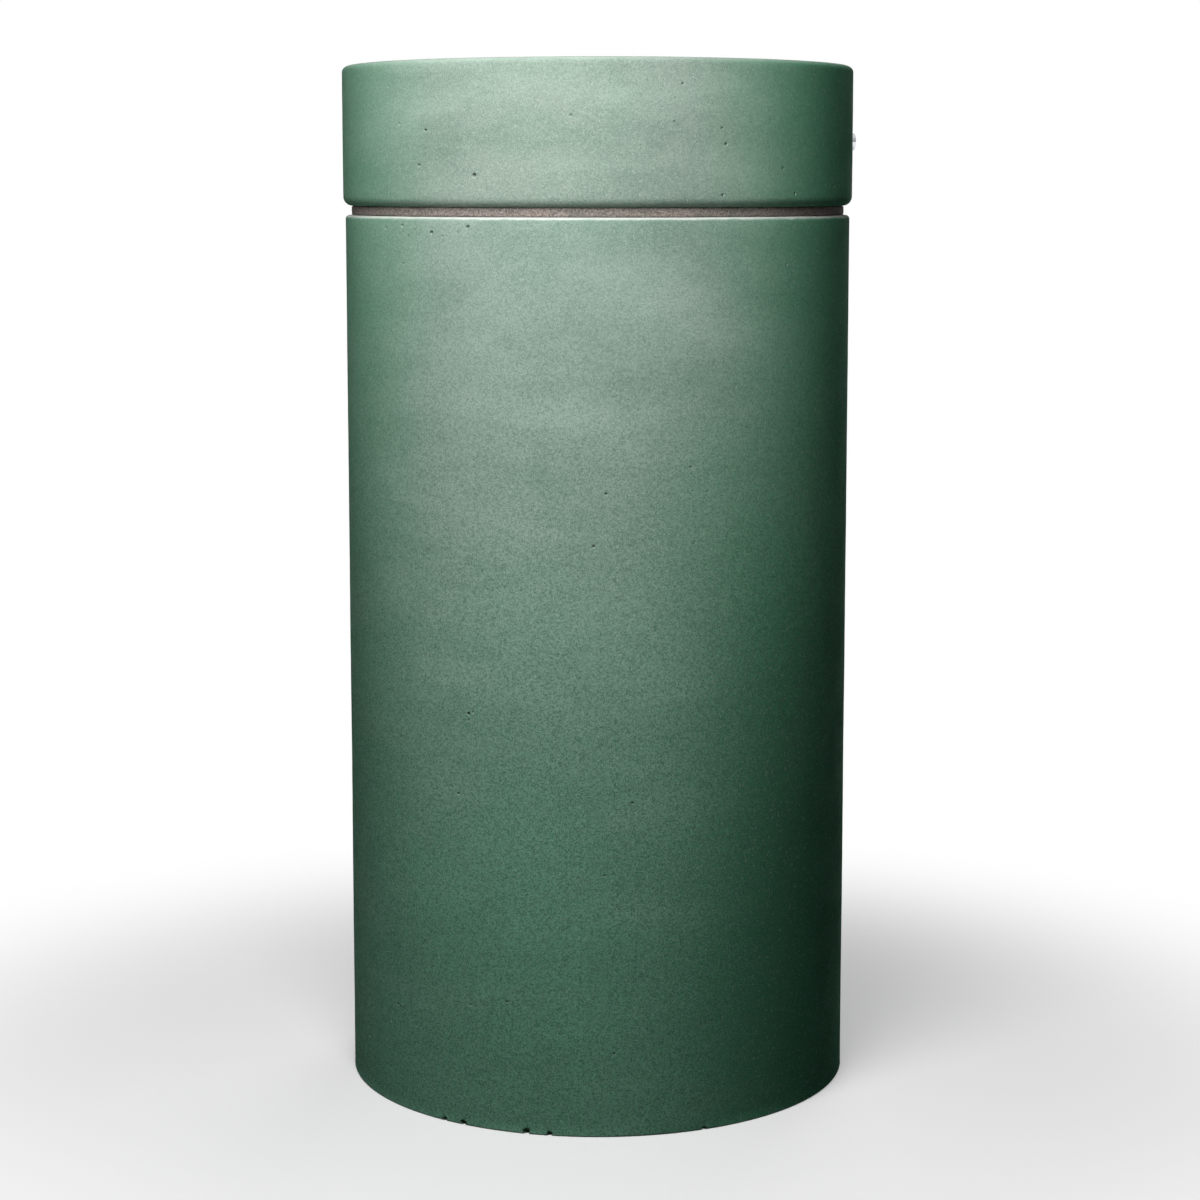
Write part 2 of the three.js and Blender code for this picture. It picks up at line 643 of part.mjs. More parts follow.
function makeValveBody() {
  const barrel = rod(sleeveBore - GAP, valveFrontX - 2, barrelFrontX);
  const housing = rod(VALVE_RADIUS, valveBackX, valveFrontX);
  const inlet = rod(7, 0, inletEnd, SMALL).rotateY(QUARTER).translate(0, 0, inletX);
  const outlet = rod(6, 0, outletEnd, SMALL).rotateX(-QUARTER).translate(0, 0, outletX);
  const chamber = rod(VALVE_RADIUS - 4.5, valveBackX + CHAMBER_END, valveFrontX - 2.5, SMALL);
  const guide = rod(STEM_RADIUS + 0.2, valveBackX + 6, barrelFrontX + 1, SMALL);
  const inletBore = rod(3.5, 0, inletEnd + 1, SMALL).rotateY(QUARTER).translate(0, 0, inletX);
  const outletBore = rod(3, 0, outletEnd + 1, SMALL).rotateX(-QUARTER).translate(0, 0, outletX);
  return cut(join(housing, barrel, inlet, outlet), chamber, guide, inletBore, outletBore);
}

function makeStem() {
  const poppetX = valveBackX + CHAMBER_END + BUTTON_TRAVEL + 1;
  return turned([
    [0, poppetX],
    [5, poppetX],
    [5, poppetX + 4],
    [STEM_RADIUS, poppetX + 5],
    [STEM_RADIUS, collarBackX - GAP],
    [0, collarBackX - GAP],
  ], SMALL);
}

class Helix extends THREE.Curve {
  constructor(radius, from, to, turns) {
    super();
    Object.assign(this, { radius, from, to, turns });
  }

  getPoint(t) {
    const angle = 2 * Math.PI * this.turns * t;
    const along = this.from + (this.to - this.from) * t;
    return new THREE.Vector3(this.radius * Math.cos(angle), this.radius * Math.sin(angle), along);
  }
}

function makeSpring() {
  const clearance = springWire + GAP;
  const coil = new Helix(springRadius, barrelFrontX + clearance, collarBackX - clearance, 4);
  return sweep(coil, springWire, 5, 36);
}

function addPushValve() {
  const axis = new THREE.Group();
  axis.position.set(0, 0, buttonZ);
  axis.rotation.y = QUARTER;
  fountain.add(axis);
  addPart(axis, "button_bezel", makeBezel(), chrome());
  addPart(axis, "push_button", makeButton(), chrome());
  addPart(axis, "valve_stem", makeStem(), steel());
  addPart(axis, "return_spring", makeSpring(), steel());
  addPart(axis, "valve_body", makeValveBody(), brass());
  const washerFront = wallSeatX - GAP;
  const washer = pipe(bezelWasherRadius, SLEEVE_RADIUS + GAP, washerFront - 2, washerFront);
  addPart(axis, "bezel_washer", washer, rubber());
  const nutFront = washerFront - 2 - GAP;
  addPart(axis, "bezel_locknut", hexNut(36, SLEEVE_RADIUS + GAP, nutFront - 7, nutFront), brass());
}

// ---- Bubbler, on an axis group whose +Z is square to the bowl ---------------------------------
const shankEnd = -BOWL_SHELL - 20;
const bubblerFlange = 1.3; // underside of the flange above the seat
const bubblerTop = 22;
const bubblerNeck = 13;
const nozzleBore = 2;

function makeBubblerBase() {
  return turned([
    [3, shankEnd],
    [BUBBLER_SHANK_RADIUS, shankEnd],
    [BUBBLER_SHANK_RADIUS, bubblerFlange],
    [BUBBLER_FLANGE_RADIUS, bubblerFlange],
    [BUBBLER_FLANGE_RADIUS, bubblerFlange + 2.4],
    [BUBBLER_FLANGE_RADIUS - 1.4, bubblerFlange + 3.8],
    [bubblerNeck + 2.5, bubblerFlange + 5.4],
    [bubblerNeck, bubblerFlange + 8],
    [bubblerNeck, bubblerTop - 5],
    [bubblerNeck + 4, bubblerTop - 2],
    [bubblerNeck + 4, bubblerTop],
    [3, bubblerTop],
  ]);
}

function makeNozzle() {
  const foot = bubblerTop + GAP;
  return turned([
    [nozzleBore, foot],
    [7, foot],
    [7, foot + 3],
    [5, foot + 4.5],
    [5, foot + 8],
    [4, foot + 9.5],
    [nozzleBore + 0.8, foot + 9.5],
    [nozzleBore, foot + 8.5],
  ], SMALL);
}

function makeGuard() {
  const foot = bubblerTop + GAP;
  const dome = turned([
    [bubblerNeck, foot],
    [bubblerNeck + 3.5, foot],
    [bubblerNeck + 3.5, foot + 6],
    [bubblerNeck + 2.2, foot + 10.5],
    [bubblerNeck - 1.5, foot + 14],
    [bubblerNeck - 7, foot + 15.8],
    [0, foot + 16.2],
    [0, foot + 14.2],
    [bubblerNeck - 8, foot + 13.8],
    [bubblerNeck - 3, foot + 12.2],
    [bubblerNeck, foot + 9],
  ]);
  const open = block(-30, 30, -30, 3, foot + 3, foot + 30);
  return cut(dome, open);
}

function addBubbler() {
  const axis = new THREE.Group();
  axis.position.set(0, bubblerY, bubblerZ);
  axis.rotation.x = bubblerTilt;
  fountain.add(axis);
  addPart(axis, "bubbler_base", makeBubblerBase(), chrome());
  addPart(axis, "bubbler_nozzle", makeNozzle(), chrome());
  addPart(axis, "bubbler_guard", makeGuard(), chrome());
  const gasket = pipe(BUBBLER_FLANGE_RADIUS - 1, BUBBLER_SHANK_RADIUS + GAP, -0.2, 1);
  addPart(axis, "bubbler_gasket", gasket, rubber());
  const washerTop = bubblerSeat - GAP;
  const washer = pipe(bubblerWasherRadius, BUBBLER_SHANK_RADIUS + GAP, washerTop - 2, washerTop);
  addPart(axis, "bubbler_washer", washer, steel());
  const nutTop = washerTop - 2 - GAP;
  const locknut = hexNut(27, BUBBLER_SHANK_RADIUS + GAP, nutTop - 8, nutTop);
  addPart(axis, "bubbler_locknut", locknut, brass());
  const tubeNut = cupNut(22, BUBBLER_SHANK_RADIUS + GAP, BUBBLER_TUBE_RADIUS + GAP,
    shankEnd + 5, shankEnd - GAP, shankEnd - 10);
  addPart(axis, "bubbler_tube_nut", tubeNut, brass());
}

// ---- Supply: riser from the floor, stop valve, line strainer, tubes to valve and bubbler ------
const supplyAngle = THREE.MathUtils.degToRad(SUPPLY_ANGLE);
const supplyR = cavityRadius - SUPPLY_FROM_WALL;
const supplyX = supplyR * Math.cos(supplyAngle);
const supplyY = supplyR * Math.sin(supplyAngle);
const floorX = servicesRadius * 0.62;
const floorY = servicesRadius * 0.32;
const stopValveTop = STOP_VALVE_HEIGHT + 62;
const spindleZ = STOP_VALVE_HEIGHT + 31;
const strainerBottom = stopValveTop + GAP;
const strainerTop = strainerBottom + 108;
const valveInletZ = buttonZ - inletEnd;

function atSupply(geometry) {
  return geometry.translate(supplyX, supplyY, 0);
}

function makeStopValveBody() {
  const lower = STOP_VALVE_HEIGHT;
  const body = turned([
    [SUPPLY_TUBE_RADIUS + GAP, lower],
    [9, lower],
    [9, lower + 14],
    [13, lower + 20],
    [13, stopValveTop - 20],
    [9, stopValveTop - 14],
    [9, stopValveTop],
    [5, stopValveTop],
    [5, lower + 16],
    [SUPPLY_TUBE_RADIUS + GAP, lower + 16],
  ]);
  const nut = hexPrism(24, lower + 1, lower + 13);
  const nutBore = rod(SUPPLY_TUBE_RADIUS + GAP, lower, lower + 14.5);
  const boss = rod(8, 6, 24, SMALL).rotateX(-QUARTER).translate(0, 0, spindleZ);
  const bossBore = rod(4.3, 5, 25, SMALL).rotateX(-QUARTER).translate(0, 0, spindleZ);
  return cut(join(body, cut(nut, nutBore), boss), bossBore);
}

function addStopValve() {
  addPart(fountain, "stop_valve_body", atSupply(makeStopValveBody()), brass());
  const spindleAxis = new THREE.Group();
  spindleAxis.position.set(supplyX, supplyY, spindleZ);
  spindleAxis.rotation.x = -QUARTER; // its +Z is the fountain's +Y, its +Y points down
  fountain.add(spindleAxis);
  const spindle = join(rod(4, 7, 30, SMALL), rod(2.4, 29, 38, SMALL));
  addPart(spindleAxis, "stop_valve_spindle", spindle, brass());
  const hub = rod(8, 30.5, 35.5, SMALL);
  const lever = block(-5, 5, -50, 0, 31, 34.5);
  const tip = rod(7, 31, 34.5, SMALL).translate(0, -50, 0);
  const handle = cut(join(hub, lever, tip), rod(2.7, 29, 37, SMALL));
  addPart(spindleAxis, "stop_valve_handle", handle, bluePlastic());
  addPart(spindleAxis, "handle_nut", hexNut(9, 2.7, 35.8, 39), steel());
}

function addLineStrainer() {
  const cupTop = strainerBottom + 26;
  const cup = turned([
    [5, strainerBottom],
    [10, strainerBottom],
    [10, strainerBottom + 8],
    [STRAINER_RADIUS + 3, strainerBottom + 12],
    [STRAINER_RADIUS + 3, cupTop],
    [STRAINER_RADIUS + GAP, cupTop],
    [STRAINER_RADIUS + GAP, strainerBottom + 16],
    [5, strainerBottom + 16],
  ]);
  addPart(fountain, "strainer_cap", atSupply(cup), brass());
  const from = strainerBottom + 16 + GAP;
  const housing = turned([
    [STRAINER_RADIUS - 3, from],
    [STRAINER_RADIUS, from],
    [STRAINER_RADIUS, strainerTop - 18],
    [STRAINER_RADIUS - 5, strainerTop - 12],
    [10, strainerTop - 10],
    [10, strainerTop],
    [4, strainerTop],
    [4, strainerTop - 13],
    [STRAINER_RADIUS - 3, strainerTop - 20],
  ]);
  addPart(fountain, "strainer_housing", atSupply(housing), brass());
}

function addBracket() {
  const band = 12;
  const low = strainerBottom + 50;
  const bandBore = STRAINER_RADIUS + 1; // room for the band's turned facets
  const outerRing = pipe(bandBore + 4, bandBore, low, low + band);
  const arm = block(bandBore + 2, SUPPLY_FROM_WALL - 3, -8, 8, low + 4, low + 8);
  const foot = block(SUPPLY_FROM_WALL - 4.2, SUPPLY_FROM_WALL - 1.2, -12, 12, low - 16, low + 28);
  const bracket = join(outerRing, arm, foot);
  const screwZ = low + 20;
  const screwHole = rod(3, 0, 100, SMALL).rotateY(QUARTER).translate(30, 0, screwZ);
  const holder = new THREE.Group();
  holder.position.set(supplyX, supplyY, 0);
  holder.rotation.z = supplyAngle;
  fountain.add(holder);
  addPart(holder, "pipe_bracket", cut(bracket, screwHole), steel());
}

function addTubes() {
  const inletRoute = bentRoute([
    [floorX, floorY, GAP],
    [floorX, floorY, BASE_THICKNESS + 50],
    [supplyX, supplyY, BASE_THICKNESS + 130],
    [supplyX, supplyY, STOP_VALVE_HEIGHT + 14],
  ], 25);
  addPart(fountain, "supply_tube", sweep(inletRoute, SUPPLY_TUBE_RADIUS, 8, 18), copper());
  const riserRoute = bentRoute([
    [supplyX, supplyY, strainerTop + GAP],
    [supplyX, supplyY, strainerTop + 60],
    [inletX, 0, valveInletZ - 110],
    [inletX, 0, valveInletZ - GAP],
  ], 35);
  addPart(fountain, "riser_tube", sweep(riserRoute, SUPPLY_TUBE_RADIUS, 8, 22), copper());
  const nutLow = valveInletZ - 12;
  const inletNut = hexNut(20, SUPPLY_TUBE_RADIUS + GAP, nutLow, valveInletZ - GAP);
  addPart(fountain, "inlet_nut", inletNut.translate(inletX, 0, 0), brass());
  const down = new THREE.Vector3(0, Math.sin(bubblerTilt), -Math.cos(bubblerTilt));
  const alongShank = (distance) => [
    0, bubblerY + down.y * distance, bubblerZ + down.z * distance];
  const tubeStart = -shankEnd + GAP;
  const sweepR = recessRadius - 22; // the tube runs round the recess at this radius
  const roundRecess = (degrees, z) => {
    const angle = THREE.MathUtils.degToRad(degrees);
    return [sweepR * Math.cos(angle), sweepR * Math.sin(angle), z];
  };
  const tubeRoute = bentRoute([
    [outletX, outletEnd + GAP, buttonZ],
    [outletX, outletEnd + 22, buttonZ],
    roundRecess(45, buttonZ - 14),
    roundRecess(68, buttonZ - 34),
    alongShank(tubeStart + 32),
    alongShank(tubeStart),
  ], 10);
  addPart(fountain, "bubbler_tube", sweep(tubeRoute, BUBBLER_TUBE_RADIUS, 8, 28), copper());
}

// ---- Service door -----------------------------------------------------------------------------
const knuckleLength = 14;
const leafHoleX = doorHalf - LOCK_FROM_EDGE;
const lockZ = DOOR_BOTTOM + DOOR_HEIGHT / 2;
const hingeHeights = [DOOR_BOTTOM + hingeInset, doorTop - hingeInset];

function barrelPiece(z, length) {
  return rod(KNUCKLE_RADIUS, z - length / 2, z + length / 2, SMALL).translate(hingeX, hingeY, 0);
}

function makeDoorFrame() {
  const opening = holeHalf - FRAME_LIP;
  const plate = block(-frameHalf, frameHalf, frameBackY, frameFrontY, frameBottom, frameTop);
  const hole = block(
    -opening, opening, frameBackY - 5, frameFrontY + 5, DOOR_BOTTOM + 12, doorTop - 12);
  const knuckles = hingeHeights.flatMap((z) => [-1, 1].flatMap((side) => {
    const at = z + side * (knuckleLength + 0.4);
    const web = block(hingeX - 3, hingeX + 2.5, frameFrontY - 1, hingeY,
      at - knuckleLength / 2, at + knuckleLength / 2);
    return [barrelPiece(at, knuckleLength), web];
  }));
  const bores = hingeHeights.map((z) => rod(HINGE_PIN_RADIUS + 0.1, z - 40, z + 40, SMALL)
    .translate(hingeX, hingeY, 0));
  const screws = frameScrewPlaces.map(
    ([x, z]) => rodAlongY(2.8, frameBackY - 2, frameFrontY + 2, x, z));
  return cut(join(plate, ...knuckles), hole, ...bores, ...screws);
}

function makeDoorLeaf() {
  const panel = block(-doorHalf, doorHalf, leafBackY, leafFrontY, DOOR_BOTTOM, doorTop);
  const panHalf = holeHalf - FRAME_LIP - 4;
  const panBottom = DOOR_BOTTOM + 16;
  const panTop = doorTop - 16;
  const pan = cut(
    block(-panHalf, panHalf, frameBackY, leafBackY + 0.5, panBottom, panTop),
    block(-panHalf + 1.5, panHalf - 1.5, frameBackY - 2, leafBackY, panBottom + 1.5, panTop - 1.5),
  );
  const knuckles = hingeHeights.flatMap((z) => {
    const half = knuckleLength / 2;
    const strap = block(hingeX, -doorHalf + 3, leafBackY, leafFrontY, z - half, z + half);
    return [barrelPiece(z, knuckleLength), strap];
  });
  const bores = hingeHeights.map((z) => rod(HINGE_PIN_RADIUS + 0.1, z - 40, z + 40, SMALL)
    .translate(hingeX, hingeY, 0));
  const lockHole = rodAlongY(
    LOCK_RADIUS + GAP, frameBackY - 5, leafFrontY + 5, leafHoleX, lockZ, MEDIUM);
  return cut(join(panel, pan, ...knuckles), lockHole, ...bores);
}

function addHingePins() {
  const reach = 1.5 * knuckleLength + 0.4;
  hingeHeights.forEach((z, i) => {
    const pin = join(
      rod(HINGE_PIN_RADIUS, z - reach - 1.5, z + reach + GAP + 0.5, SMALL),
      rod(KNUCKLE_RADIUS - 0.4, z + reach + GAP, z + reach + GAP + 1.6, SMALL),
    );
    pin.translate(hingeX, hingeY, 0);
    addPart(fountain, ["hinge_pin_lower", "hinge_pin_upper"][i], pin, steel());
  });
}

function addFrameScrews() {
  frameScrewPlaces.forEach(([x, z], i) => {
    const seat = frameFrontY + GAP;
    const shank = rodAlongY(2.5, nicheY - 24, seat + 0.5, x, z);
    const head = turned([
      [0, seat], [5, seat], [5, seat + 1], [4, seat + 2.2], [0, seat + 2.6],
    ], SMALL).rotateX(-QUARTER).translate(x, 0, z);
    const drive = block(x - 2.6, x + 2.6, seat + 1.2, seat + 5, z - 0.5, z + 0.5);
    addPart(fountain, `frame_screw_${i + 1}`, cut(join(head, shank), drive), steel());
  });
}

function addLock() {
  const axis = new THREE.Group();
  axis.position.set(leafHoleX, 0, lockZ);
  axis.rotation.x = -QUARTER; // its +Z is the fountain's +Y, its +Y points down
  fountain.add(axis);
  const flangeY = leafFrontY + GAP;
  const faceY = flangeY + 2;
  const plugBore = 5.3;
  const body = turned([
    [plugBore, frameBackY + 0.2],
    [LOCK_RADIUS, frameBackY + 0.2],
    [LOCK_RADIUS, flangeY],
    [LOCK_RADIUS + 3, flangeY],
    [LOCK_RADIUS + 3, faceY - 0.6],
    [LOCK_RADIUS + 2, faceY],
    [plugBore, faceY],
  ]);
  addPart(axis, "lock_body", body, chrome());
  const nut = hexNut(26, LOCK_RADIUS + GAP, frameBackY + 0.4, leafBackY - GAP);
  addPart(axis, "lock_nut", nut, steel());
  const tongueFront = frameBackY - 0.9;
  const tongueBack = tongueFront - 2.5;
  const shoulder = frameBackY - 0.6;
  const plugEnd = tongueBack - 4;
  const keyDrive = rod(2.6, faceY - 4, faceY + 2, 3);
  const plug = cut(
    join(rod(plugBore - 0.3, shoulder, faceY - 0.2, SMALL), rod(3, plugEnd, shoulder + 0.5, SMALL)),
    keyDrive,
  );
  addPart(axis, "lock_plug", plug, steel());
  const tongueReach = LOCK_FROM_EDGE - 4;
  const tongue = cut(
    join(
      rod(8, tongueBack, tongueFront, SMALL),
      block(-6, 6, 0, tongueReach, tongueBack, tongueFront),
    ),
    rod(3.3, tongueBack - 1, tongueFront + 1, SMALL),
  );
  addPart(axis, "lock_tongue", tongue, steel());
  const tongueNut = hexNut(10, 3.3, plugEnd + 0.4, tongueBack - GAP);
  addPart(axis, "tongue_nut", tongueNut, steel());
}

// ---- The whole fountain -----------------------------------------------------------------------
addPart(fountain, "pedestal", makePedestal(), greenConcrete());
addPart(fountain, "spacer_ring", makeRing(), ringMortar());
addPart(fountain, "head", makeHead(), greenConcrete());
addDowels();
addAnchors();
addDrain();
addTrap();
addPushValve();
addBubbler();
addStopValve();
addLineStrainer();
addBracket();
addTubes();
addPart(fountain, "door_frame", makeDoorFrame(), steel());
addPart(fountain, "door_leaf", makeDoorLeaf(), steel());
addHingePins();
addFrameScrews();
addLock();

export default fountain;
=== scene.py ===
import json
import math
import random

import bmesh
import bpy
from mathutils import Matrix, Vector, noise


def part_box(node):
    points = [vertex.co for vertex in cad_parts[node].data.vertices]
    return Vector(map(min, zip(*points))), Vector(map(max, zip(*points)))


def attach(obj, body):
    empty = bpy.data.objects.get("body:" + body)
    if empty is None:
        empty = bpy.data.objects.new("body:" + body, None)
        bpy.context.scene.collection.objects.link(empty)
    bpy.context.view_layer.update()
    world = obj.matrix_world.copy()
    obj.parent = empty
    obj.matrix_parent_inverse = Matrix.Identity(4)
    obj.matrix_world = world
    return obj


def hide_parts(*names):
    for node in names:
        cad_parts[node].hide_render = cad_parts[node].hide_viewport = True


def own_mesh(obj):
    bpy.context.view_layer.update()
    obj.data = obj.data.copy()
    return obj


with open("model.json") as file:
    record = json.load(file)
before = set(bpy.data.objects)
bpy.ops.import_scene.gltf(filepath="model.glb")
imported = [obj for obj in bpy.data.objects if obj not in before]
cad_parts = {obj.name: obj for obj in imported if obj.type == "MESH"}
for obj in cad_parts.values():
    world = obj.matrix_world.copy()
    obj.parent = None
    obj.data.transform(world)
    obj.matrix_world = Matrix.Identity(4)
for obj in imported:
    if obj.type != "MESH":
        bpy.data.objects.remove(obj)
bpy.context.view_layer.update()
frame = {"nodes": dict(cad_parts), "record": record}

MM = 0.001

# ---- Sizes taken from the frame ---------------------------------------------------------------
head_low, head_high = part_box("head")
ring_low, ring_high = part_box("spacer_ring")
pedestal_low, pedestal_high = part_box("pedestal")
bezel_low, bezel_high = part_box("button_bezel")
button_low, button_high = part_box("push_button")
drain_low, drain_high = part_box("drain_body")
strainer_low, strainer_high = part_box("drain_strainer")
screw_low, screw_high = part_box("strainer_screw")
frame_plate_low, frame_plate_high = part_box("door_frame")
leaf_low, leaf_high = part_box("door_leaf")
lock_low, lock_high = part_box("lock_body")
plug_low, plug_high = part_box("lock_plug")
spring_low, spring_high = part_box("return_spring")
HEAD_RADIUS = head_high.x
PEDESTAL_RADIUS = pedestal_high.x
RING_RADIUS = ring_high.x
TOTAL_HEIGHT = head_high.z
BUTTON_Z = (bezel_low.z + bezel_high.z) / 2

# ---- Sizes of the concrete, as in the CAD model -------------------------------------------------
HEAD_LOWER_EDGE = 8 * MM
HEAD_TOP_EDGE = 5.5 * MM
RECESS_RADIUS = HEAD_RADIUS - 35 * MM
CEILING_Z = TOTAL_HEIGHT - 40 * MM
BOWL_RADIUS = HEAD_RADIUS - 67 * MM
BOWL_DEPTH = 78 * MM
BOWL_SHELL = 28 * MM
SPHERE_RADIUS = (BOWL_RADIUS ** 2 + BOWL_DEPTH ** 2) / (2 * BOWL_DEPTH)
SPHERE_Z = TOTAL_HEIGHT - BOWL_DEPTH + SPHERE_RADIUS
SHELL_RADIUS = SPHERE_RADIUS + BOWL_SHELL
DRAIN_SEAT_RADIUS = 36 * MM
DRAIN_RECESS_RADIUS = drain_high.x + 0.8 * MM
DRAIN_RECESS_Z = TOTAL_HEIGHT - BOWL_DEPTH - 1.8 * MM
DRAIN_BODY_RADIUS = 24.5 * MM
DRAIN_BORE = 20.5 * MM
DRAIN_HOLE_RADIUS = DRAIN_BODY_RADIUS + 0.5 * MM
CAVITY_RADIUS = PEDESTAL_RADIUS - 40 * MM
BASE_THICKNESS = 50 * MM
SERVICES_RADIUS = 75 * MM
PEDESTAL_TOP_EDGE = 3.5 * MM
PEDESTAL_FOOT_EDGE = 1.5 * MM
RING_WIDTH = 30 * MM
DOWEL_CIRCLE = RECESS_RADIUS + 13 * MM
DOWEL_HOLE_RADIUS = 7 * MM
DOWEL_DEPTH = 30 * MM
ANCHOR_CIRCLE = 130 * MM
NICHE_Y = PEDESTAL_RADIUS - 33 * MM
NICHE_MARGIN = 1 * MM

# ---- Push button, as in the CAD model -------------------------------------------------------------
BEZEL_LIP = 8.3 * MM  # from the bezel's face back to the lip that stops the button's collar
BUTTON_COLLAR = 5 * MM
BEZEL_HOLE = 14.5 * MM
BEZEL_SEAT = 17.3 * MM
BEZEL_WASHER_SEAT = 23 * MM

# ---- Bubbler, square to the bowl behind the drain -----------------------------------------------
BUBBLER_Y = BOWL_RADIUS - 48 * MM
BUBBLER_TILT = math.asin(BUBBLER_Y / SPHERE_RADIUS)
BUBBLER_Z = SPHERE_Z - SPHERE_RADIUS * math.cos(BUBBLER_TILT)

# ---- Concrete colours -----------------------------------------------------------------------------
# painted shade: the foot's deeper, darker green, blending up into the body's colour
PAINTED_SHADE_FOOT = (0.142, 0.405, 0.258)
GREEN_BODY = (0.308, 0.402, 0.345)
GREEN_HEAD = (0.284, 0.345, 0.298)
# painted shade for both flanks, deepest at the foot
PAINTED_SHADE_FLANK_FOOT = (0.018, 0.170, 0.068)
PAINTED_SHADE_FLANK = (0.110, 0.420, 0.230)
GREEN_DARK = (0.052, 0.155, 0.098)
# painted shade on the pale clouds towards the foot
PAINTED_SHADE_PALE_FOOT = (0.290, 0.520, 0.385)
GREEN_PALE = (0.480, 0.590, 0.510)
# painted highlight along the pedestal's top edge
SHOULDER_HIGHLIGHT = (0.640, 0.690, 0.640)

# ---- Camera, surroundings and softboxes ---------------------------------------------------------
CAMERA_LENS = 83.4
CAMERA_DISTANCE = 2.485
CAMERA_HEIGHT = 0.798
CAMERA_PITCH = 7.3
CAMERA_SHIFT_X = 0.002
CAMERA_SHIFT_Y = -0.05
SKY_LOW = 0.01
SKY_HIGH = 0.05
MIRRORED_LOW = 0.25
MIRRORED_HIGH = 0.80
FLOOR_GLOW = 0.34
FLOOR_BOUNCE = 0.06
FLOOR_FADE_START = 0.30
FLOOR_FADE_END = 0.95
SOFTBOXES = (
    # name, place, what it faces, diameter, power in watts
    ("key", (-0.20, -0.82, 1.20), (0, 0, 0.50), 0.7, 11),
    ("side", (-1.9, -0.5, 0.9), (0, 0, 0.55), 0.7, 0.6),
    ("rear", (0.65, 2.1, 1.3), (0, 0, 0.45), 1.4, 15),
)

# ---- Fineness of the turned meshes --------------------------------------------------------------
BIG_SEGMENTS = 256
RING_SEGMENTS = 720
FITTING_SEGMENTS = 96
SMALL_SEGMENTS = 48
SEED = 7
PIT_DEPTH = 1.9  # of a pinhole, as a share of its radius


# ---- Meshes -------------------------------------------------------------------------------------
def add_object(name, bm):
    """A scene object from a bmesh, with its faces turned outwards."""
    bmesh.ops.recalc_face_normals(bm, faces=bm.faces)
    mesh = bpy.data.meshes.new(name)
    bm.to_mesh(mesh)
    bm.free()
    obj = bpy.data.objects.new(name, mesh)
    bpy.context.scene.collection.objects.link(obj)
    return obj


def arc(centre, radius, start, end, steps):
    """Points of an arc in a turned profile, from start to end in degrees."""
    points = []
    for i in range(steps + 1):
        angle = math.radians(start + (end - start) * i / steps)
        points.append((centre[0] + radius * math.cos(angle), centre[1] + radius * math.sin(angle)))
    return points


def line(start, end, step):
    """Points between start and end, both left out, about one step apart."""
    length = math.dist(start, end)
    count = max(1, round(length / step))
    return [
        (start[0] + (end[0] - start[0]) * i / count, start[1] + (end[1] - start[1]) * i / count)
        for i in range(1, count)
    ]


def rounded(points, radius, steps=3):
    """The closed profile with each of its corners rounded off by up to that radius."""
    result = []
    count = len(points)
    for i, corner in enumerate(points):
        if corner[0] < 1e-6:
            result.append(corner)
            continue
        before, here, after = Vector(points[i - 1]), Vector(corner), Vector(points[(i + 1) % count])
        reach_in = min(radius, (before - here).length * 0.4)
        reach_out = min(radius, (after - here).length * 0.4)
        start = here + (before - here).normalized() * reach_in
        end = here + (after - here).normalized() * reach_out
        for k in range(steps + 1):
            t = k / steps
            point = start * (1 - t) ** 2 + here * 2 * t * (1 - t) + end * t ** 2
            result.append((point.x, point.y))
    return result


def turned(name, profile, segments):
    """A solid turned about +Z. The profile either closes on itself or has both ends on the axis."""
    bm = bmesh.new()
    rings = []
    for radius, height in profile:
        if radius < 1e-6:
            rings.append([bm.verts.new((0, 0, height))])
            continue
        ring = []
        for i in range(segments):
            angle = 2 * math.pi * i / segments
            ring.append(bm.verts.new((radius * math.cos(angle), radius * math.sin(angle), height)))
        rings.append(ring)
    on_axis = len(rings[0]) == 1
    pairs = list(zip(rings, rings[1:]))
    if not on_axis:
        pairs.append((rings[-1], rings[0]))
    for lower, upper in pairs:
        for i in range(segments):
            k = (i + 1) % segments
            if len(lower) == 1 and len(upper) == 1:
                break
            if len(lower) == 1:
                bm.faces.new((lower[0], upper[i], upper[k]))
            elif len(upper) == 1:
                bm.faces.new((lower[i], lower[k], upper[0]))
            else:
                bm.faces.new((lower[i], lower[k], upper[k], upper[i]))
    return add_object(name, bm)


def rod(radius, low, high, segments=SMALL_SEGMENTS):
    return turned("cutter", [(0, low), (radius, low), (radius, high), (0, high)], segments)


def block(low, high):
    bm = bmesh.new()
    bmesh.ops.create_cube(bm, size=1)
    size = Vector(high) - Vector(low)
    middle = (Vector(high) + Vector(low)) / 2
    bmesh.ops.transform(bm, verts=bm.verts, matrix=Matrix.LocRotScale(middle, None, size))
    return add_object("cutter", bm)


def moved(obj, matrix):
    obj.data.transform(matrix)
    return obj


def along_x(obj):
    """Turns a piece made about +Z onto the push button's axis, towards +X."""
    return moved(obj, Matrix.Translation((0, 0, BUTTON_Z)) @ Matrix.Rotation(math.pi / 2, 4, "Y"))


def along_y(obj, x, z):
    """Turns a piece made about +Z onto a line towards +Y."""
    return moved(obj, Matrix.Translation((x, 0, z)) @ Matrix.Rotation(-math.pi / 2, 4, "X"))


def along_bubbler(obj):
    place = Matrix.Translation((0, BUBBLER_Y, BUBBLER_Z))
    return moved(obj, place @ Matrix.Rotation(BUBBLER_TILT, 4, "X"))


def joined(pieces):
    """One object from several that don't touch each other."""
    bm = bmesh.new()
    for piece in pieces:
        bm.from_mesh(piece.data)
        remove(piece)
    return add_object("joined", bm)


def remove(obj):
    mesh = obj.data
    bpy.data.objects.remove(obj)
    bpy.data.meshes.remove(mesh)


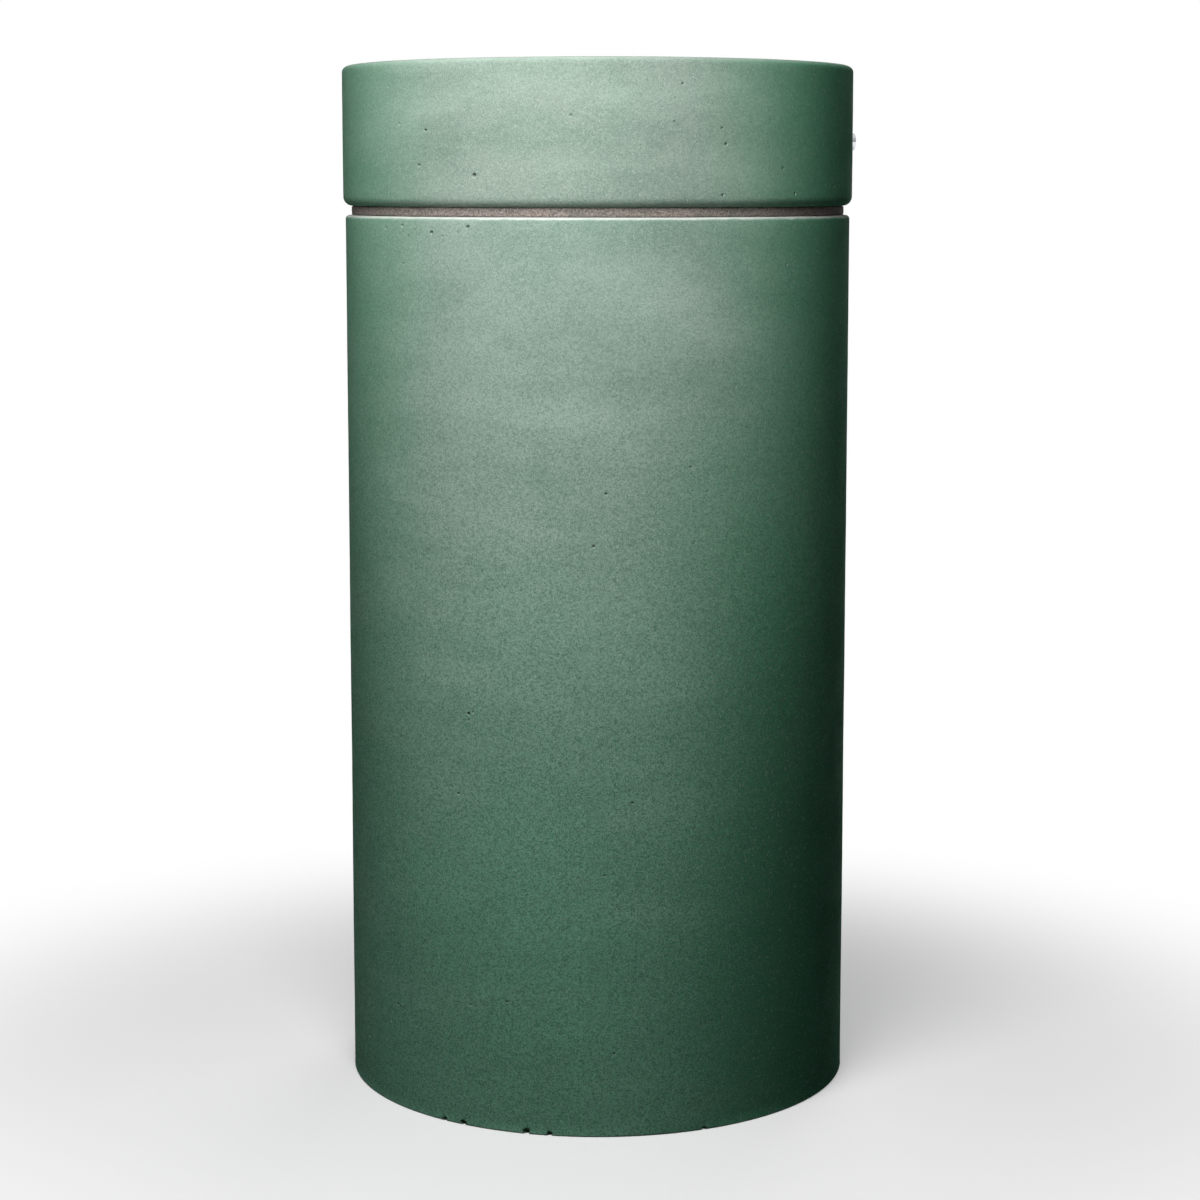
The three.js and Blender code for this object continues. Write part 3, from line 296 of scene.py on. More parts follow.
def combine(target, tool, operation):
    modifier = target.modifiers.new("combine", "BOOLEAN")
    modifier.object = tool
    modifier.operation = operation
    modifier.solver = "EXACT"
    evaluated = target.evaluated_get(bpy.context.evaluated_depsgraph_get())
    result = bpy.data.meshes.new_from_object(evaluated)
    target.modifiers.clear()
    old = target.data
    target.data = result
    bpy.data.meshes.remove(old)
    remove(tool)


def cut(target, *tools):
    for tool in tools:
        combine(target, tool, "DIFFERENCE")


def smooth(obj, sharp_above=32):
    obj.data.shade_smooth()
    obj.data.set_sharp_from_angle(angle=math.radians(sharp_above))


def stands_for(obj, node, body, material):
    """The piece takes the CAD node's place, on its body and in its material slot."""
    obj.name = node + "_look"
    obj.data.name = obj.name
    obj.data.materials.clear()
    obj.data.materials.append(material)
    smooth(obj)
    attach(obj, body)
    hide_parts(node)
    return obj


# ---- Procedural materials -----------------------------------------------------------------------
class Nodes:
    """A short way to write a material's node tree."""

    def __init__(self, name):
        self.material = bpy.data.materials.new(name)
        self.material.use_nodes = True
        self.tree = self.material.node_tree
        self.shader = self.tree.nodes["Principled BSDF"]
        self.place = self.tree.nodes.new("ShaderNodeTexCoord").outputs["Object"]

    def link(self, source, target):
        self.tree.links.new(source, target)

    def stretched(self, scale):
        """Object coordinates multiplied by a scale along each axis."""
        node = self.tree.nodes.new("ShaderNodeMapping")
        node.inputs["Scale"].default_value = scale
        self.link(self.place, node.inputs["Vector"])
        return node.outputs["Vector"]

    def noise(self, scale, detail=3.0, roughness=0.55, vector=None):
        node = self.tree.nodes.new("ShaderNodeTexNoise")
        node.inputs["Scale"].default_value = scale
        node.inputs["Detail"].default_value = detail
        node.inputs["Roughness"].default_value = roughness
        self.link(vector or self.place, node.inputs["Vector"])
        return node.outputs["Fac"]

    def cells(self, scale):
        node = self.tree.nodes.new("ShaderNodeTexVoronoi")
        node.inputs["Scale"].default_value = scale
        self.link(self.place, node.inputs["Vector"])
        return node.outputs["Distance"]

    def grains(self, scale):
        """A random value for each sand grain."""
        node = self.tree.nodes.new("ShaderNodeTexVoronoi")
        node.inputs["Scale"].default_value = scale
        self.link(self.place, node.inputs["Vector"])
        split = self.tree.nodes.new("ShaderNodeSeparateColor")
        self.link(node.outputs["Color"], split.inputs["Color"])
        return split.outputs["Red"]

    def remap(self, value, from_low, from_high, to_low, to_high):
        node = self.tree.nodes.new("ShaderNodeMapRange")
        node.interpolation_type = "SMOOTHSTEP"
        node.inputs["From Min"].default_value = from_low
        node.inputs["From Max"].default_value = from_high
        node.inputs["To Min"].default_value = to_low
        node.inputs["To Max"].default_value = to_high
        self.link(value, node.inputs["Value"])
        return node.outputs["Result"]

    def math(self, operation, first, second):
        node = self.tree.nodes.new("ShaderNodeMath")
        node.operation = operation
        for socket, value in zip(node.inputs, (first, second)):
            if isinstance(value, (int, float)):
                socket.default_value = value
            else:
                self.link(value, socket)
        return node.outputs["Value"]

    def mix(self, factor, first, second):
        """Mixes two colours, each a socket or (r, g, b)."""
        node = self.tree.nodes.new("ShaderNodeMix")
        node.data_type = "RGBA"
        colour_inputs = [s for s in node.inputs if s.type == "RGBA"]
        for socket, value in zip(colour_inputs, (first, second)):
            if isinstance(value, tuple):
                socket.default_value = (*value, 1)
            else:
                self.link(value, socket)
        if isinstance(factor, (int, float)):
            node.inputs[0].default_value = factor
        else:
            self.link(factor, node.inputs[0])
        return next(s for s in node.outputs if s.type == "RGBA")

    def edges(self, radius):
        """1 along sharp outer and inner edges, 0 on flat faces."""
        bevel = self.tree.nodes.new("ShaderNodeBevel")
        bevel.samples = 4
        bevel.inputs["Radius"].default_value = radius
        geometry = self.tree.nodes.new("ShaderNodeNewGeometry")
        dot = self.tree.nodes.new("ShaderNodeVectorMath")
        dot.operation = "DOT_PRODUCT"
        self.link(bevel.outputs["Normal"], dot.inputs[0])
        self.link(geometry.outputs["Normal"], dot.inputs[1])
        return self.remap(dot.outputs["Value"], 0.99, 0.86, 0.0, 1.0), bevel.outputs["Normal"]

    def along(self, axis):
        """How far a point is along X, Y or Z."""
        split = self.tree.nodes.new("ShaderNodeSeparateXYZ")
        self.link(self.place, split.inputs["Vector"])
        return split.outputs[axis]

    def height(self):
        return self.along("Z")

    def bump(self, value, depth, normal=None):
        """A bump of that many metres, over the normal given."""
        node = self.tree.nodes.new("ShaderNodeBump")
        node.inputs["Strength"].default_value = 1.0
        node.inputs["Distance"].default_value = depth
        self.link(value, node.inputs["Height"])
        if normal is not None:
            self.link(normal, node.inputs["Normal"])
        return node.outputs["Normal"]

    def finish(self, colour, roughness, normal, metallic=0.0, specular=0.5):
        self.link(colour, self.shader.inputs["Base Color"])
        self.link(roughness, self.shader.inputs["Roughness"])
        self.link(normal, self.shader.inputs["Normal"])
        self.shader.inputs["Metallic"].default_value = metallic
        self.shader.inputs["Specular IOR Level"].default_value = specular
        return self.material


def make_concrete(name):
    """Green pigmented cast concrete: sand grain, cloudy pigment, lime bloom, worn arrises, painted
    highlights and shade.
    """
    n = Nodes(name)
    worn, soft_normal = n.edges(2.2 * MM)
    clouds = n.noise(6, 5, 0.6)
    blotches = n.noise(27, 4, 0.6)
    layers = n.noise(5.5, 4, 0.55, n.stretched((0.8, 0.8, 3.2)))
    sand = n.noise(1150, 2, 0.7)
    grain = n.grains(700)
    pores = n.cells(260)
    # painted shade: the body and its pale clouds darker, deeper green towards the foot
    body = n.mix(n.remap(n.height(), 0.16, 0.66, 0.0, 1.0), PAINTED_SHADE_FOOT, GREEN_BODY)
    base = n.mix(n.remap(n.height(), head_low.z - 6 * MM, head_low.z, 0.0, 1.0), body, GREEN_HEAD)
    pale = n.mix(n.remap(n.height(), 0.10, 0.62, 0.0, 1.0), PAINTED_SHADE_PALE_FOOT, GREEN_PALE)
    # painted shade: a deeper, darker green towards both flanks, and from nearer the front low on the +X
    # side
    flank_shade_colour = n.mix(n.remap(n.height(), 0.16, 0.66, 0.0, 1.0), PAINTED_SHADE_FLANK_FOOT, PAINTED_SHADE_FLANK)
    right_shade_mask = n.remap(n.along("X"), 0.25 * HEAD_RADIUS, 0.97 * HEAD_RADIUS, 0.0, 0.95)
    low_right_shade_mask = n.math(
        "MULTIPLY",
        n.remap(n.along("X"), 0.0, 0.80 * HEAD_RADIUS, 0.0, 0.95),
        n.remap(n.height(), 0.78, 0.42, 0.0, 1.0))
    left_shade_mask = n.math(
        "MULTIPLY",
        n.remap(n.along("X"), -0.50 * HEAD_RADIUS, -HEAD_RADIUS, 0.0, 0.62),
        n.remap(n.height(), 0.06, 0.36, 0.10, 1.0))
    # the mask of the painted shade on both flanks
    side = n.math("MAXIMUM", n.math("MAXIMUM", right_shade_mask, low_right_shade_mask), left_shade_mask)
    clouded = n.mix(n.remap(clouds, 0.36, 0.66, 0.0, 0.30), base, GREEN_DARK)
    shaded = n.mix(n.remap(layers, 0.50, 0.30, 0.0, 0.30), clouded, GREEN_DARK)
    layered = n.mix(n.remap(layers, 0.48, 0.70, 0.0, 0.40), shaded, pale)
    bloomed = n.mix(n.remap(blotches, 0.56, 0.80, 0.0, 0.16), layered, pale)
    flank_shade_painted = n.mix(side, bloomed, flank_shade_colour)
    deeper = n.remap(n.height(), 0.20, head_high.z, 1.0, 0.32)
    speckled = n.mix(n.math("MULTIPLY", grain, deeper), flank_shade_painted, GREEN_DARK)
    sparkled = n.mix(n.remap(grain, 0.93, 0.98, 0.0, 0.34), speckled, pale)
    sandy = n.remap(sand, 0.42, 0.64, 0.0, 0.40)
    sandier = n.math("MULTIPLY", sandy, n.remap(n.height(), 0.2, 0.85, 1.8, 0.9))
    # less pale dust where the flanks' shade is painted
    dust = n.math("MULTIPLY", sandier, n.remap(side, 0.0, 1.0, 1.0, 0.35))
    dusty = n.mix(dust, sparkled, pale)
    pitted = n.mix(n.remap(pores, 0.10, 0.05, 0.0, 0.55), dusty, (0.03, 0.075, 0.05))
    # paler along every edge: wear, and a painted highlight on the arrises
    edges_worn_and_highlighted = n.mix(n.math("MULTIPLY", worn, 0.4), pitted, GREEN_PALE)
    uneven = n.math("MULTIPLY", n.noise(70, 3, 0.6), 2.2 * MM)
    level = n.math("ADD", n.height(), uneven)
    # painted highlight: a pale line along the pedestal's top edge, under the ring
    shoulder = n.remap(level, pedestal_high.z - 1.6 * MM, pedestal_high.z + 0.2 * MM, 0.0, 1.0)
    above = n.remap(n.height(), pedestal_high.z + 1 * MM, pedestal_high.z + 2 * MM, 1.0, 0.0)
    shoulder_highlighted = n.mix(n.math("MULTIPLY", shoulder, above), edges_worn_and_highlighted, SHOULDER_HIGHLIGHT)
    # painted highlight: a pale line along the rim's top edge
    rim_highlight = n.remap(level, head_high.z - 2.6 * MM, head_high.z + 0.4 * MM, 0.0, 0.45)
    colour = n.mix(rim_highlight, shoulder_highlighted, GREEN_PALE)
    roughness = n.remap(blotches, 0.3, 0.75, 0.74, 0.90)
    skin = n.bump(n.noise(95, 3, 0.5), 0.35 * MM, soft_normal)
    rough_skin = n.bump(sand, 0.22 * MM, skin)
    pocked = n.bump(n.remap(pores, 0.05, 0.14, 0.0, 1.0), 0.25 * MM, rough_skin)
    return n.finish(colour, roughness, pocked, specular=0.02)


def make_mortar():
    """Coarse grey-brown bedding mortar with pale and dark sand in it."""
    n = Nodes("mortar")
    grain = n.grains(950)
    coarse = n.noise(520, 3, 0.7)
    clouds = n.noise(16, 3, 0.6)
    base = n.mix(n.remap(clouds, 0.35, 0.7, 0.0, 1.0), (0.330, 0.270, 0.245), (0.235, 0.220, 0.195))
    grains = n.mix(n.remap(grain, 0.1, 0.9, 0.0, 0.75), base, (0.070, 0.060, 0.052))
    sand = n.mix(n.remap(grain, 0.80, 0.95, 0.0, 0.6), grains, (0.50, 0.44, 0.40))
    colour = n.mix(n.remap(coarse, 0.50, 0.70, 0.0, 0.5), sand, (0.45, 0.40, 0.37))
    roughness = n.remap(coarse, 0.3, 0.7, 0.82, 0.97)
    normal = n.bump(grain, 0.25 * MM, n.bump(coarse, 0.4 * MM))
    return n.finish(colour, roughness, normal, specular=0.2)


def make_chrome():
    """Polished chrome plate with water marks, wipe streaks and rounded edges."""
    n = Nodes("chrome_plate")
    worn, soft_normal = n.edges(0.6 * MM)
    smudges = n.noise(60, 4, 0.6)
    marks = n.cells(210)
    wipes = n.noise(40, 5, 0.6, n.stretched((1.0, 7.0, 7.0)))
    film = n.mix(n.remap(smudges, 0.4, 0.72, 0.0, 0.5), (0.80, 0.82, 0.84), (0.62, 0.64, 0.64))
    spotted = n.mix(n.remap(marks, 0.12, 0.06, 0.0, 0.35), film, (0.70, 0.71, 0.68))
    colour = n.mix(n.math("MULTIPLY", worn, 0.4), spotted, (0.90, 0.90, 0.90))
    hazy = n.remap(smudges, 0.35, 0.75, 0.06, 0.22)
    roughness = n.math("MAXIMUM", hazy, n.remap(marks, 0.14, 0.05, 0.05, 0.34))
    normal = n.bump(wipes, 0.02 * MM, soft_normal)
    return n.finish(colour, roughness, normal, metallic=1.0)


def make_steel(name, brushed):
    """Stainless steel, brushed along its long direction or as turned."""
    n = Nodes(name)
    worn, soft_normal = n.edges(0.7 * MM)
    direction = (1.0, 1.0, 0.02) if brushed else (1.0, 1.0, 1.0)
    lines = n.noise(1400 if brushed else 500, 3, 0.7, n.stretched(direction))
    broad = n.noise(160, 3, 0.6, n.stretched(direction))
    smudges = n.noise(22, 4, 0.6)
    base = n.mix(n.remap(lines, 0.3, 0.7, 0.0, 1.0), (0.46, 0.46, 0.455), (0.63, 0.63, 0.62))
    toned = n.mix(n.remap(broad, 0.35, 0.7, 0.0, 0.3), base, (0.40, 0.40, 0.39))
    marked = n.mix(n.remap(smudges, 0.5, 0.75, 0.0, 0.35), toned, (0.50, 0.49, 0.46))
    colour = n.mix(n.math("MULTIPLY", worn, 0.5), marked, (0.78, 0.78, 0.77))
    streaky = n.remap(lines, 0.3, 0.7, 0.26, 0.42)
    roughness = n.math("ADD", streaky, n.remap(smudges, 0.45, 0.75, 0.0, 0.12))
    normal = n.bump(lines, 0.025 * MM, soft_normal)
    return n.finish(colour, roughness, normal, metallic=1.0)


def make_brass():
    """Forged brass with a dull oxide film, brighter on the edges that spanners touch."""
    n = Nodes("brass")
    worn, soft_normal = n.edges(0.8 * MM)
    clouds = n.noise(38, 4, 0.62)
    cast = n.noise(420, 3, 0.6)
    base = n.mix(n.remap(clouds, 0.36, 0.68, 0.0, 1.0), (0.56, 0.37, 0.135), (0.36, 0.235, 0.095))
    spotted = n.mix(n.remap(cast, 0.6, 0.75, 0.0, 0.5), base, (0.20, 0.135, 0.06))
    colour = n.mix(n.math("MULTIPLY", worn, 0.75), spotted, (0.80, 0.60, 0.27))
    roughness = n.remap(clouds, 0.35, 0.7, 0.27, 0.50)
    normal = n.bump(cast, 0.05 * MM, soft_normal)
    return n.finish(colour, roughness, normal, metallic=1.0)


def make_copper():
    """Drawn copper tube, tarnished brown in patches, with faint draw lines."""
    n = Nodes("copper")
    clouds = n.noise(26, 5, 0.65)
    spots = n.noise(130, 3, 0.6)
    base = n.mix(n.remap(clouds, 0.38, 0.66, 0.0, 1.0), (0.70, 0.345, 0.215), (0.36, 0.165, 0.095))
    colour = n.mix(n.remap(spots, 0.58, 0.74, 0.0, 0.55), base, (0.17, 0.085, 0.055))
    roughness = n.remap(clouds, 0.35, 0.7, 0.24, 0.48)
    return n.finish(colour, roughness, n.bump(spots, 0.06 * MM), metallic=1.0)


def make_rubber():
    """Black moulded rubber with a pale bloom."""
    n = Nodes("rubber")
    bloom = n.noise(70, 4, 0.6)
    fine = n.noise(900, 2, 0.6)
    colour = n.mix(n.remap(bloom, 0.45, 0.75, 0.0, 1.0), (0.017, 0.017, 0.018), (0.055, 0.054, 0.052))
    roughness = n.remap(fine, 0.3, 0.7, 0.62, 0.82)
    return n.finish(colour, roughness, n.bump(fine, 0.08 * MM), specular=0.35)


def make_plastic(name, colour_clean, colour_dirty):
    """Moulded plastic with a fine spark texture, dust and rubbed edges."""
    n = Nodes(name)
    worn, soft_normal = n.edges(0.8 * MM)
    dust = n.noise(30, 5, 0.62)
    texture = n.noise(1100, 2, 0.5)
    dirty = n.mix(n.remap(dust, 0.42, 0.74, 0.0, 0.8), colour_clean, colour_dirty)
    lighter = tuple(min(1.0, c * 1.25 + 0.03) for c in colour_clean)
    colour = n.mix(n.math("MULTIPLY", worn, 0.5), dirty, lighter)
    roughness = n.remap(dust, 0.35, 0.75, 0.30, 0.52)
    return n.finish(colour, roughness, n.bump(texture, 0.03 * MM, soft_normal), specular=0.45)


SLOT_OF = {row["node"]: row["material_slot"] for row in frame["record"]["subparts"]}
CONCRETE = make_concrete("green_concrete")
MORTAR = make_mortar()
CHROME = make_chrome()
TURNED_STEEL = make_steel("turned_steel", brushed=False)
BRUSHED_STEEL = make_steel("brushed_steel", brushed=True)
MATERIAL_OF_SLOT = {
    "green_concrete": CONCRETE,
    "ring_mortar": MORTAR,
    "chrome_fittings": CHROME,
    "stainless": TURNED_STEEL,
    "brass_fittings": make_brass(),
    "copper_tube": make_copper(),
    "black_rubber": make_rubber(),
    "white_plastic": make_plastic("white_plastic", (0.70, 0.705, 0.68), (0.46, 0.44, 0.38)),
    "blue_plastic": make_plastic("blue_plastic", (0.020, 0.085, 0.30), (0.07, 0.11, 0.20)),
}
BRUSHED_NODES = ("door_frame", "door_leaf", "pipe_bracket")


# ---- CAD nodes that stay ------------------------------------------------------------------------
def make_smoothing():
    """A geometry modifier that welds a CAD mesh and shades it smooth between sharp edges."""
    tree = bpy.data.node_groups.new("smooth_between_edges", "GeometryNodeTree")
    tree.interface.new_socket("Geometry", in_out="INPUT", socket_type="NodeSocketGeometry")
    tree.interface.new_socket("Geometry", in_out="OUTPUT", socket_type="NodeSocketGeometry")
    start = tree.nodes.new("NodeGroupInput")
    weld = tree.nodes.new("GeometryNodeMergeByDistance")
    weld.inputs["Distance"].default_value = 0.002 * MM
    faces = tree.nodes.new("GeometryNodeSetShadeSmooth")
    faces.domain = "FACE"
    angle = tree.nodes.new("GeometryNodeInputMeshEdgeAngle")
    sharp = tree.nodes.new("FunctionNodeCompare")
    sharp.data_type = "FLOAT"
    sharp.operation = "GREATER_THAN"
    sharp.inputs["B"].default_value = math.radians(33)
    edges = tree.nodes.new("GeometryNodeSetShadeSmooth")
    edges.domain = "EDGE"
    edges.inputs["Shade Smooth"].default_value = False
    end = tree.nodes.new("NodeGroupOutput")
    links = tree.links
    links.new(start.outputs["Geometry"], weld.inputs["Geometry"])
    links.new(weld.outputs["Geometry"], faces.inputs["Geometry"])
    links.new(faces.outputs["Geometry"], edges.inputs["Geometry"])
    links.new(angle.outputs["Unsigned Angle"], sharp.inputs["A"])
    links.new(sharp.outputs["Result"], edges.inputs["Selection"])
    links.new(edges.outputs["Geometry"], end.inputs["Geometry"])
    return tree


def dress_cad_nodes():
    smoothing = make_smoothing()
    for name, obj in frame["nodes"].items():
        brushed = name in BRUSHED_NODES
        material = BRUSHED_STEEL if brushed else MATERIAL_OF_SLOT[SLOT_OF[name]]
        obj.data.materials.clear()
        obj.data.materials.append(material)
        if "custom_normal" in obj.data.attributes:
            obj.data.attributes.remove(obj.data.attributes["custom_normal"])
        modifier = obj.modifiers.new("smoothing", "NODES")
        modifier.node_group = smoothing


# ---- Concrete castings --------------------------------------------------------------------------
def weathered(obj, centre_z, depth):
    """Moves the outer skin inwards by a slow, uneven amount, as a cast from a worn mould has."""
    for vertex in obj.data.vertices:
        place = vertex.co
        distance = math.hypot(place.x, place.y)
        slow = noise.noise(place * 9)
        quick = noise.noise(place * 55)
        amount = depth * (0.5 + 0.42 * slow + 0.2 * quick)
        inward = max(0.0, min(depth * 1.2, amount))
        if distance > CAVITY_RADIUS + 12 * MM and place.z > 1 * MM:
            place.x -= place.x / distance * inward
            place.y -= place.y / distance * inward
            if place.z > centre_z:
                place.z -= inward * 0.6


def pit(angle, height, radius, surface_radius, generator):
    """An uneven little hollow in the wall, at an angle from the front towards +X."""
    bm = bmesh.new()
    bmesh.ops.create_icosphere(bm, subdivisions=2, radius=1)
    for vertex in bm.verts:
        vertex.co *= 1 + 0.35 * noise.noise(vertex.co * 1.7 + Vector((angle, height * 40, 0)))
    turn = Matrix.Rotation(math.radians(angle), 4, "Z")
    place = turn @ Vector((0, -surface_radius, height))
    wide, high = generator.uniform(0.75, 1.3), generator.uniform(0.7, 1.2)
    size = Vector((wide, PIT_DEPTH, high)) * radius
    bmesh.ops.transform(bm, verts=bm.verts, matrix=Matrix.LocRotScale(place, turn.to_quaternion(), size))
    return add_object("cutter", bm)


def spaced(holes, gap=0.5 * MM):
    """Leaves out a pinhole that would touch one before it."""
    kept = []
    for angle, height, radius in holes:
        clear = all(
            math.hypot(math.radians(angle - a) * HEAD_RADIUS, height - h) > radius + r + gap
            for a, h, r in kept)
        if clear:
            kept.append((angle, height, radius))
    return kept


def scattered(count, low, high, generator):
    """Seeded pinholes all round, more of them small than large."""
    return [
        (generator.uniform(-180, 180), generator.uniform(low, high),
         (0.45 + 0.85 * generator.random() ** 3) * MM)
        for _ in range(count)
    ]


def pinholes(places, surface_radius, generator):
    return joined([pit(a, h, r, surface_radius, generator) for a, h, r in spaced(places)])


def head_profile():
    low, top = head_low.z, head_high.z
    rim_angle = math.degrees(math.asin(BOWL_RADIUS / SPHERE_RADIUS))
    bowl_from = rim_angle - 1.15
    drain_angle = math.degrees(math.asin(DRAIN_RECESS_RADIUS / SPHERE_RADIUS))
    shell_from = math.degrees(math.asin(DRAIN_SEAT_RADIUS / SHELL_RADIUS))
    shell_to = math.degrees(math.acos((SPHERE_Z - CEILING_Z) / SHELL_RADIUS))
    centre = (0, SPHERE_Z)
    seat_z = SPHERE_Z - math.sqrt(SHELL_RADIUS ** 2 - DRAIN_SEAT_RADIUS ** 2)
    side_low = (HEAD_RADIUS, low + HEAD_LOWER_EDGE)
    side_high = (HEAD_RADIUS, top - HEAD_TOP_EDGE)
    rim_outer = (HEAD_RADIUS - HEAD_TOP_EDGE, top)
    rim_inner = (BOWL_RADIUS + 4 * MM, top)
    bowl_start = arc(centre, SPHERE_RADIUS, bowl_from - 90, bowl_from - 90, 1)[0]
    lip = []
    for k in range(1, 6):
        t = k / 6
        corner = Vector((BOWL_RADIUS + 0.3 * MM, top - 0.2 * MM))
        point = Vector(rim_inner) * (1 - t) ** 2 + corner * 2 * t * (1 - t) + Vector(bowl_start) * t ** 2
        lip.append((point.x, point.y))
    return [
        (RECESS_RADIUS + 2 * MM, low),
        *arc((HEAD_RADIUS - HEAD_LOWER_EDGE, low + HEAD_LOWER_EDGE), HEAD_LOWER_EDGE, -90, 0, 8),
        *line(side_low, side_high, 5 * MM),
        *arc((HEAD_RADIUS - HEAD_TOP_EDGE, top - HEAD_TOP_EDGE), HEAD_TOP_EDGE, 0, 90, 7),
        *line(rim_outer, rim_inner, 6 * MM),
        rim_inner,
        *lip,
        *arc(centre, SPHERE_RADIUS, bowl_from - 90, drain_angle - 90, 26),
        (DRAIN_RECESS_RADIUS, DRAIN_RECESS_Z),
        (DRAIN_HOLE_RADIUS, DRAIN_RECESS_Z),
        (DRAIN_HOLE_RADIUS, seat_z),
        *arc(centre, SHELL_RADIUS, shell_from - 90, shell_to - 90, 12),
        (RECESS_RADIUS, CEILING_Z),
        (RECESS_RADIUS, low + 2 * MM),
    ]


def dowel_holes(low, high):
    holes = []
    for side in (-1, 1):
        place = Matrix.Translation((0, side * DOWEL_CIRCLE, 0))
        holes.append(moved(rod(DOWEL_HOLE_RADIUS, low, high), place))
    return joined(holes)


def button_hole():
    """The push button's hole about +Z, with the washer's flat seat inside and the bezel's outside."""
    seat = HEAD_RADIUS - 3 * MM
    return turned("cutter", [
        (0, RECESS_RADIUS - 8 * MM),
        (BEZEL_WASHER_SEAT, RECESS_RADIUS - 8 * MM),
        (BEZEL_WASHER_SEAT, RECESS_RADIUS),
        (BEZEL_HOLE, RECESS_RADIUS),
        (BEZEL_HOLE, seat),
        (BEZEL_SEAT, seat),
        (BEZEL_SEAT, HEAD_RADIUS + 5 * MM),
        (0, HEAD_RADIUS + 5 * MM),
    ], FITTING_SEGMENTS)


def make_head():
    head = turned("head", head_profile(), BIG_SEGMENTS)
    weathered(head, head_high.z - 3 * MM, 0.45 * MM)
    seat = -0.5 * MM
    washer_radius = 21 * MM
    under_seat = -BOWL_SHELL + washer_radius ** 2 / (2 * SHELL_RADIUS)
    cut(
        head,
        along_bubbler(rod(26 * MM, seat, 12 * MM, FITTING_SEGMENTS)),
        along_bubbler(rod(9 * MM, -BOWL_SHELL - 20 * MM, 6 * MM)),
        along_bubbler(rod(washer_radius, -BOWL_SHELL - 12 * MM, under_seat)),
        along_x(button_hole()),
        dowel_holes(head_low.z - 1 * MM, head_low.z + DOWEL_DEPTH),
    )
    generator = random.Random(SEED)
    # pinholes the front shows: degrees from the front towards +X, height, radius
    seen = [
        (-26.5, 0.805, 2.2 * MM),
        (-39, 0.842, 1.5 * MM),
        (-41, 0.813, 1.4 * MM),
        (-5.5, 0.853, 1.0 * MM),
        (16, 0.848, 1.0 * MM),
        (43, 0.811, 1.5 * MM),
        (27, 0.789, 1.2 * MM),
        (47, 0.790, 1.2 * MM),
    ]
    others = scattered(46, head_low.z + 12 * MM, head_high.z - 10 * MM, generator)
    away = [hole for hole in others if not 76 < hole[0] < 104]
    cut(head, pinholes(seen + away, HEAD_RADIUS - 0.2 * MM, generator))
    return stands_for(head, "head", "fountain", CONCRETE)


def pedestal_profile():
    top = pedestal_high.z
    radius = PEDESTAL_RADIUS
    foot = (radius, PEDESTAL_FOOT_EDGE)
    shoulder = (radius, top - PEDESTAL_TOP_EDGE)
    return [
        (SERVICES_RADIUS, 0),
        *arc((radius - PEDESTAL_FOOT_EDGE, PEDESTAL_FOOT_EDGE), PEDESTAL_FOOT_EDGE, -90, 0, 4),
        *line(foot, shoulder, 9 * MM),
        *arc((radius - PEDESTAL_TOP_EDGE, top - PEDESTAL_TOP_EDGE), PEDESTAL_TOP_EDGE, 0, 90, 6),
        (CAVITY_RADIUS, top),
        *line((CAVITY_RADIUS, top), (CAVITY_RADIUS, BASE_THICKNESS), 40 * MM),
        (CAVITY_RADIUS, BASE_THICKNESS),
        (SERVICES_RADIUS, BASE_THICKNESS),
    ]


